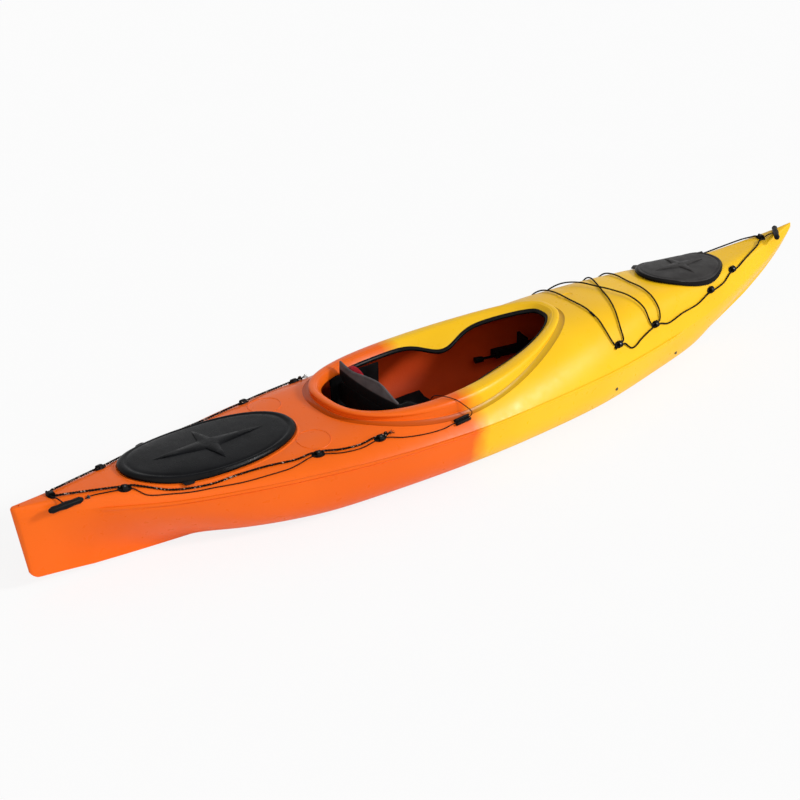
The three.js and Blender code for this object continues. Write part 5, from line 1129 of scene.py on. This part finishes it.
def pass_stops(name, tunnel, way, radius):
    reach, middle = FITTING_LENGTH / 2 + 0.002, BRIDGE_LENGTH / 2 + 0.001
    rest = FITTING_BASE + radius + GAP
    return [frames[name] @ Vector((along * way, tunnel * TUNNEL_OFFSET, rest))
            for along in (-reach, -middle, middle, reach)]


def deck_stop(x, y, lift):
    return Vector((x, y, deck_at(x, y))) + deck_normal(x, y) * lift


def mirrored(stops):
    return [Vector((s.x, -s.y, s.z)) for s in stops][::-1]


LINE_LIFT, END_BEND = LINE_RADIUS + 0.0012, 0.012
TWIST_STEP, LINE_STEP, THIN_STEP, TAIL_STEP = 0.0020, 0.004, 0.005, 0.0095
TWIST_OFFSET, TWIST_PITCH, TWIST_RADIUS = 0.0019, 0.021, 0.0021
STERN_KNOT, STERN_KNOT_RADIUS, BOW_KNOT, BOW_KNOT_RADIUS = 0.0075, 0.0026, 0.0052, 0.0021
FRAY_STRANDS, FRAY_LENGTH, FRAY_SPREAD, FRAY_RADIUS = 7, 0.028, 0.011, 0.0009


def end_stops(name, tunnel, away):
    def place(along, off):
        point = frames[name] @ Vector((along, tunnel * TUNNEL_OFFSET, FITTING_BASE + LINE_RADIUS + GAP))
        return point + Vector((away * off, 0, -off * 0.06))
    reach = BRIDGE_LENGTH / 2 + 0.001
    return [place(-reach - END_BEND * 1.1, END_BEND * 1.9), place(-reach - END_BEND * 0.8, END_BEND * 0.55),
            place(-reach - 0.001, 0), place(0, 0), place(reach + 0.001, 0),
            place(reach + END_BEND * 0.8, END_BEND * 0.55), place(reach + END_BEND * 1.1, END_BEND * 1.9)]


def link_stops(start, end, rows, lift):
    """Between two places: rows of share of the way, outward bow in fitting widths and extra lift."""
    out = []
    for way, bow, raised in rows:
        x = start[0] + (end[0] - start[0]) * way
        y = start[1] + (end[1] - start[1]) * way - FITTING_WIDTH * bow
        out.append(deck_stop(x, y, lift * (1 + raised)))
    return out


def hatch_stops(rows, lift):
    """Along the stern hatch's starboard side: rows of share of its half length and gap in half widths."""
    out = []
    for along, gap in rows:
        x, y = oval_plan(STERN_HATCH)(math.acos(powered(along, 1 / HATCH_SQUARE)))
        out.append(deck_stop(x, -y - STERN_HATCH["width"] / 2 * gap, lift))
    return out


def threaded(end, numbers, tunnel, way, radius, between):
    """Through the starboard fittings of one end in turn, each followed by its stops to the next."""
    out = []
    for number, stops in zip(numbers, between):
        out += pass_stops(f"{end}_side_fitting_{number}_starboard", tunnel, way, radius) + stops
    return out


def stern_line_stops():
    first, second, third = STERN_PLACES
    side = threaded("stern", (3, 2, 1), 1, -1, LINE_RADIUS, [
        link_stops(third, second, [(0.336, 0.22, 0), (0.672, 0.19, 0)], LINE_LIFT),
        hatch_stops([(0.63, 0.52), (0.325, 0.253), (0, 0.142), (-0.337, 0.125), (-0.7, 0.12),
                     (-0.91, 0.18)], LINE_LIFT),
        link_stops(first, STERN_END, [(0.468, 0.13, 0.5)], LINE_LIFT),
    ])
    return [*side, *end_stops("stern_end_fitting", -1, 1), *mirrored(side)]


def bow_line_stops():
    first, second, third, fourth = BOW_PLACES
    side = threaded("bow", (1, 2, 3, 4), -1, 1, LINE_RADIUS, [
        link_stops(first, second, [(0.272, 0.68, 0), (0.592, 0.39, 0)], LINE_LIFT),
        link_stops(second, third, [(0.194, 0.34, 0), (0.462, 0.27, 0), (0.731, 0.29, 0)], LINE_LIFT),
        link_stops(third, fourth, [(0.542, 0.29, 0)], LINE_LIFT),
        link_stops(fourth, BOW_END, [(0.406, 0.43, 0.5), (0.758, 0.62, 0.75)], LINE_LIFT),
    ])
    return [*side, *end_stops("bow_end_fitting", 1, -1), *mirrored(side)]


def taut_stops(start, end, shares, lift_at):
    def at(share):
        return [start[k] + (end[k] - start[k]) * share for k in (0, 1)]

    def height(share):
        return deck_at(*at(share))

    def cut(a, b):
        rise = height(b) - height(a)
        return max(0, *[height(a + (b - a) * t) - (height(a) + rise * t) for t in (0.25, 0.5, 0.75)])

    out = []
    for i, share in enumerate(shares):
        before = cut(shares[i - 1], share) if i > 0 else 0
        after = cut(share, shares[i + 1]) if i < len(shares) - 1 else 0
        out.append(deck_stop(*at(share), lift_at(share) + max(before, after)))
    return out


ACROSS = [0.06, 0.16, 0.3, 0.5, 0.7, 0.84, 0.94]
CROSSED = [0.08, 0.2, 0.35, 0.5, 0.65, 0.8, 0.92]


def bungee_stops():
    aft_x, aft_y, _ = FITTINGS["bow_side_fitting_1"]
    fore_x, fore_y, _ = FITTINGS["bow_side_fitting_2"]
    aft_y, fore_y = aft_y - TUNNEL_OFFSET, fore_y - TUNNEL_OFFSET
    lift, bend, hump = BUNGEE_RADIUS + 0.001, 0.040, 0.008

    def crossing(side, lift_at):
        return taut_stops([aft_x + bend / 2, side * aft_y], [fore_x - bend / 2, -side * fore_y], CROSSED, lift_at)

    aft = taut_stops([aft_x - bend, aft_y], [aft_x - bend, -aft_y], ACROSS, lambda s: lift)
    fore = taut_stops([fore_x + bend, fore_y], [fore_x + bend, -fore_y], ACROSS, lambda s: lift)
    splice = next(i for i, share in enumerate(ACROSS) if share > 0.75)
    meeting = (aft[splice] + aft[splice - 1]) / 2
    parting = Vector((0, 0.001, 0))
    return [
        meeting - parting, *aft[splice:], *pass_stops("bow_side_fitting_1_starboard", 1, 1, BUNGEE_RADIUS),
        *crossing(-1, lambda s: lift), *pass_stops("bow_side_fitting_2_port", -1, 1, BUNGEE_RADIUS),
        *fore, *pass_stops("bow_side_fitting_2_starboard", 1, -1, BUNGEE_RADIUS),
        *reversed(crossing(1, lambda s: lift + hump * math.sin(math.pi * s))),
        *pass_stops("bow_side_fitting_1_port", -1, -1, BUNGEE_RADIUS), *aft[:splice], meeting + parting,
    ]


cleat_frame = fitting_frame(*CLEAT, 4)
eye_frame = fitting_frame(*EYE, 12)


def thin_line_stops():
    first, second, third = STERN_PLACES
    lift, eye = THIN_RADIUS + 0.0012, 0.0061
    return [
        eye_frame @ Vector((-0.0121, 0, eye - 0.001)), eye_frame @ Vector((0, 0, eye)),
        eye_frame @ Vector((0.01375, -0.002, eye)),
        *link_stops(first, EYE, [(0.617, 0, 0.71)], lift),
        *threaded("stern", (1, 2, 3), -1, 1, THIN_RADIUS, [
            hatch_stops([(-0.94, 0.369), (-0.729, 0.188), (-0.518, 0.168), (-0.277, 0.201), (0, 0.309),
                         (0.265, 0.42), (0.536, 0.585)], lift),
            link_stops(second, third, [(0.328, 0.67, 0), (0.664, 0.67, 0)], lift),
            link_stops(third, CLEAT, [(0.244, 0.53, 0), (0.488, 0.68, 0), (0.732, 0.54, 0.71)], lift),
        ]),
        *[cleat_frame @ Vector((x, 0, 0.0072)) for x in (-0.03503, 0, 0.03503)],
    ]


TAIL_STOPS = [
    (-0.1768, -0.3020, 0.2711), (-0.1737, -0.3019, 0.2712), (-0.1677, -0.3014, 0.2828), (-0.1784, -0.3025, 0.2979),
    (-0.2080, -0.2670, 0.3285), (-0.2320, -0.2500, 0.3410), (-0.2520, -0.2260, 0.3430), (-0.2620, -0.2020, 0.3360),
    (-0.2640, -0.1870, 0.3140), (-0.2620, -0.1815, 0.2840), (-0.2580, -0.1805, 0.2460),
]


def line_ends(centre, back):
    """Both ends of a line, each with its way out, taken over this many points."""
    return [(centre[0], centre[0] - centre[back]), (centre[-1], centre[-1] - centre[-1 - back])]


def lines():
    centre = even(route(stern_line_stops()), TWIST_STEP)
    strands = [(helix(centre, TWIST_OFFSET, TWIST_PITCH, phase), TWIST_RADIUS, 8) for phase in (0, math.pi)]
    ends = line_ends(centre, 6)
    knots = [(stopper(p, STERN_KNOT, w), STERN_KNOT_RADIUS, 8) for p, w in ends]
    fray = []
    for place, way in ends:
        way = way / np.linalg.norm(way)
        for k in range(FRAY_STRANDS):
            spread = np.array([0, math.cos(k * 0.9), math.sin(k * 0.9) * 0.4 + 0.2])
            tip = place + way * FRAY_LENGTH + spread * FRAY_SPREAD
            fray.append((np.array([place + way * 0.004, (place + way * 0.016 + tip) / 2, tip]), FRAY_RADIUS, 5))
    tube_piece("stern_perimeter_line_twisted", strands + knots + fray, twisted_cord, "stern_perimeter_line")
    centre = even(route(bow_line_stops()), LINE_STEP)
    knots = [(stopper(p, BOW_KNOT, w), BOW_KNOT_RADIUS, 8) for p, w in line_ends(centre, 4)]
    tubes = [(centre, LINE_RADIUS * 1.1, 10)] + knots
    tube_piece("bow_perimeter_line_braided", tubes, plain_cord, "bow_perimeter_line")
    centre = even(route(bungee_stops()), LINE_STEP)
    tube_piece("foredeck_bungee_braided", [(centre, BUNGEE_RADIUS * 1.15, 10)], plain_cord, "foredeck_bungee")
    centre = even(route(thin_line_stops(), 4), THIN_STEP)
    tube_piece("starboard_line_braided", [(centre, THIN_RADIUS * 1.2, 8)], plain_cord, "starboard_deck_line")


lines()


def line_tail():
    """The free end, from the cleat over the coaming into the cockpit."""
    path = even(route(TAIL_STOPS), TAIL_STEP)
    tube = (even(path, 0.003), THIN_RADIUS, 8)
    piece = tube_piece("starboard_tail_braided", [tube], plain_cord, "starboard_line_tail")


line_tail()


# Padded pieces

PAD_INSET, PAD_SWELL, PAD_PRESSURE, PAD_FRAMES = 0.004, 0.006, 4, 20
DOME_MIDDLE, DOME_HALF, DOME_FOOT, DOME_RISE = 0.085, 0.088, 0.303, 0.078
PAD_FOOT, PAD_HEIGHT = 0.243, 0.140


def repaint(mesh, material):
    """Gives a solid's mesh one material, and takes away the normals it came with."""
    if "custom_normal" in mesh.attributes:
        mesh.attributes.remove(mesh.attributes["custom_normal"])
    mesh.materials.clear()
    mesh.materials.append(material)


def puffed(name, node, material, body, voxel, shape=None):
    """A soft solid, remeshed and swelled from inside by a cloth simulation."""
    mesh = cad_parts[node].data.copy()
    repaint(mesh, material)
    piece = add_object(name, mesh)
    modify(piece, "WELD", merge_threshold=1e-5)
    modify(piece, "REMESH", mode="VOXEL", voxel_size=voxel)
    combine(piece)
    count = len(piece.data.vertices)
    rest, normals = np.empty(count * 3), np.empty(count * 3)
    piece.data.vertices.foreach_get("co", rest)
    piece.data.vertex_normals.foreach_get("vector", normals)
    rest = rest.reshape(-1, 3) - normals.reshape(-1, 3) * PAD_INSET
    if shape:
        rest = shape(rest)
    piece.data.vertices.foreach_set("co", rest.ravel())
    piece.data.update()
    cloth = modify(piece, "CLOTH")
    cloth.settings.use_pressure = True
    cloth.settings.uniform_pressure_force = PAD_PRESSURE
    cloth.settings.effector_weights.gravity = 0
    cloth.point_cache.frame_end = PAD_FRAMES
    for number in range(1, PAD_FRAMES + 1):
        bpy.context.scene.frame_set(number)
    swelled = piece.evaluated_get(bpy.context.evaluated_depsgraph_get()).to_mesh()
    after = np.empty(count * 3)
    swelled.vertices.foreach_get("co", after)
    piece.modifiers.clear()
    bpy.context.scene.frame_set(1)
    move = after.reshape(-1, 3) - rest
    size = np.linalg.norm(move, axis=1)[:, None]
    held = rest + move * np.minimum(1, PAD_SWELL / np.maximum(size, 1e-9))
    piece.data.vertices.foreach_set("co", held.ravel())
    piece.data.update()
    modify(piece, "SUBSURF", levels=1, render_levels=1)
    piece.data.shade_smooth()
    settle(piece, body, node)


def pad_shape(points):
    """The pad stands up as a dome on its port half and stays low beside it."""
    dome = np.sqrt(np.clip(1 - ((points[:, 1] - DOME_MIDDLE) / DOME_HALF) ** 2, 0, 1))
    top = DOME_FOOT + DOME_RISE * dome
    points[:, 2] = PAD_FOOT + (points[:, 2] - PAD_FOOT) / PAD_HEIGHT * (top - PAD_FOOT)
    return points


puffed("seat_cushion_fabric", "seat_cushion", black_fabric, "hull", 0.006)
puffed("backrest_pad_fabric", "backrest_pad", red_fabric, "backrest", 0.005, pad_shape)


SEAM_HALF, SEAM_POINTS, PIPING_RADIUS, STITCH_RADIUS = 0.166, 90, 0.0016, 0.0007


def panel_seam():
    """A piping and a row of stitches along the top edge of the backrest panel, on its rear face."""
    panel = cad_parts["backrest_panel"]
    points = np.array([tuple(v.co) for v in panel.data.vertices])
    columns = np.unique(points[:, 1].round(3))
    tops = [points[np.abs(points[:, 1] - y) < 0.0011][:, 2].max() for y in columns]
    tubes = []
    for down, stitched in ((0.0045, False), (0.0085, True)):
        row = []
        for y in np.linspace(-SEAM_HALF, SEAM_HALF, SEAM_POINTS):
            z = float(np.interp(y, columns, tops)) - down
            hit, spot, _, _ = panel.ray_cast(Vector((-0.6, y, z)), Vector((1, 0, 0)))
            if hit:
                row.append((spot.x - 0.0001, y, z))
        row = np.array(row)
        if stitched:
            tubes += [(row[i:i + 3], STITCH_RADIUS, 6) for i in range(0, len(row) - 3, 4)]
        else:
            tubes.append((row, PIPING_RADIUS, 8))
    tube_piece("backrest_piping", tubes, piping_look, None, "backrest")


panel_seam()


# Solids that are right as they are: edges eased, finer finishes

def dress(node, material, bevel):
    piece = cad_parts[node]
    repaint(piece.data, material)
    modify(piece, "WELD", merge_threshold=1e-6)
    modify(piece, "BEVEL", width=bevel, segments=2, limit_method="ANGLE", angle_limit=math.radians(30),
           harden_normals=False)
    piece.data.shade_smooth()


for side in ("port", "starboard"):
    for kind, bevel in (("seat_hanger", 0.0008), ("foot_brace_rail", 0.0008), ("foot_pedal", 0.0015),
                        ("foot_brace_rod", 0.0008)):
        dress(f"{kind}_{side}", black_plastic, bevel)
    for end in ("rear", "front"):
        dress(f"foot_brace_bolt_{end}_{side}", dark_steel, 0.0005)
dress("seat_bulkhead", foam, 0.002)
dress("backrest_panel", grey_plastic, 0.002)
dress("stern_line_eye", dark_steel, 0.0004)
for node, bevel in (("seat_pan", 0.0012), ("backrest_frame", 0.0015), ("line_cleat", 0.0008), ("bungee_sleeve", 0.0005),
                    ("stern_toggle", 0.0006), ("bow_toggle", 0.0006)):
    dress(node, black_plastic, bevel)
for end in ("stern", "bow"):
    dress(end + "_toggle_knot", plain_cord, 0.0004)
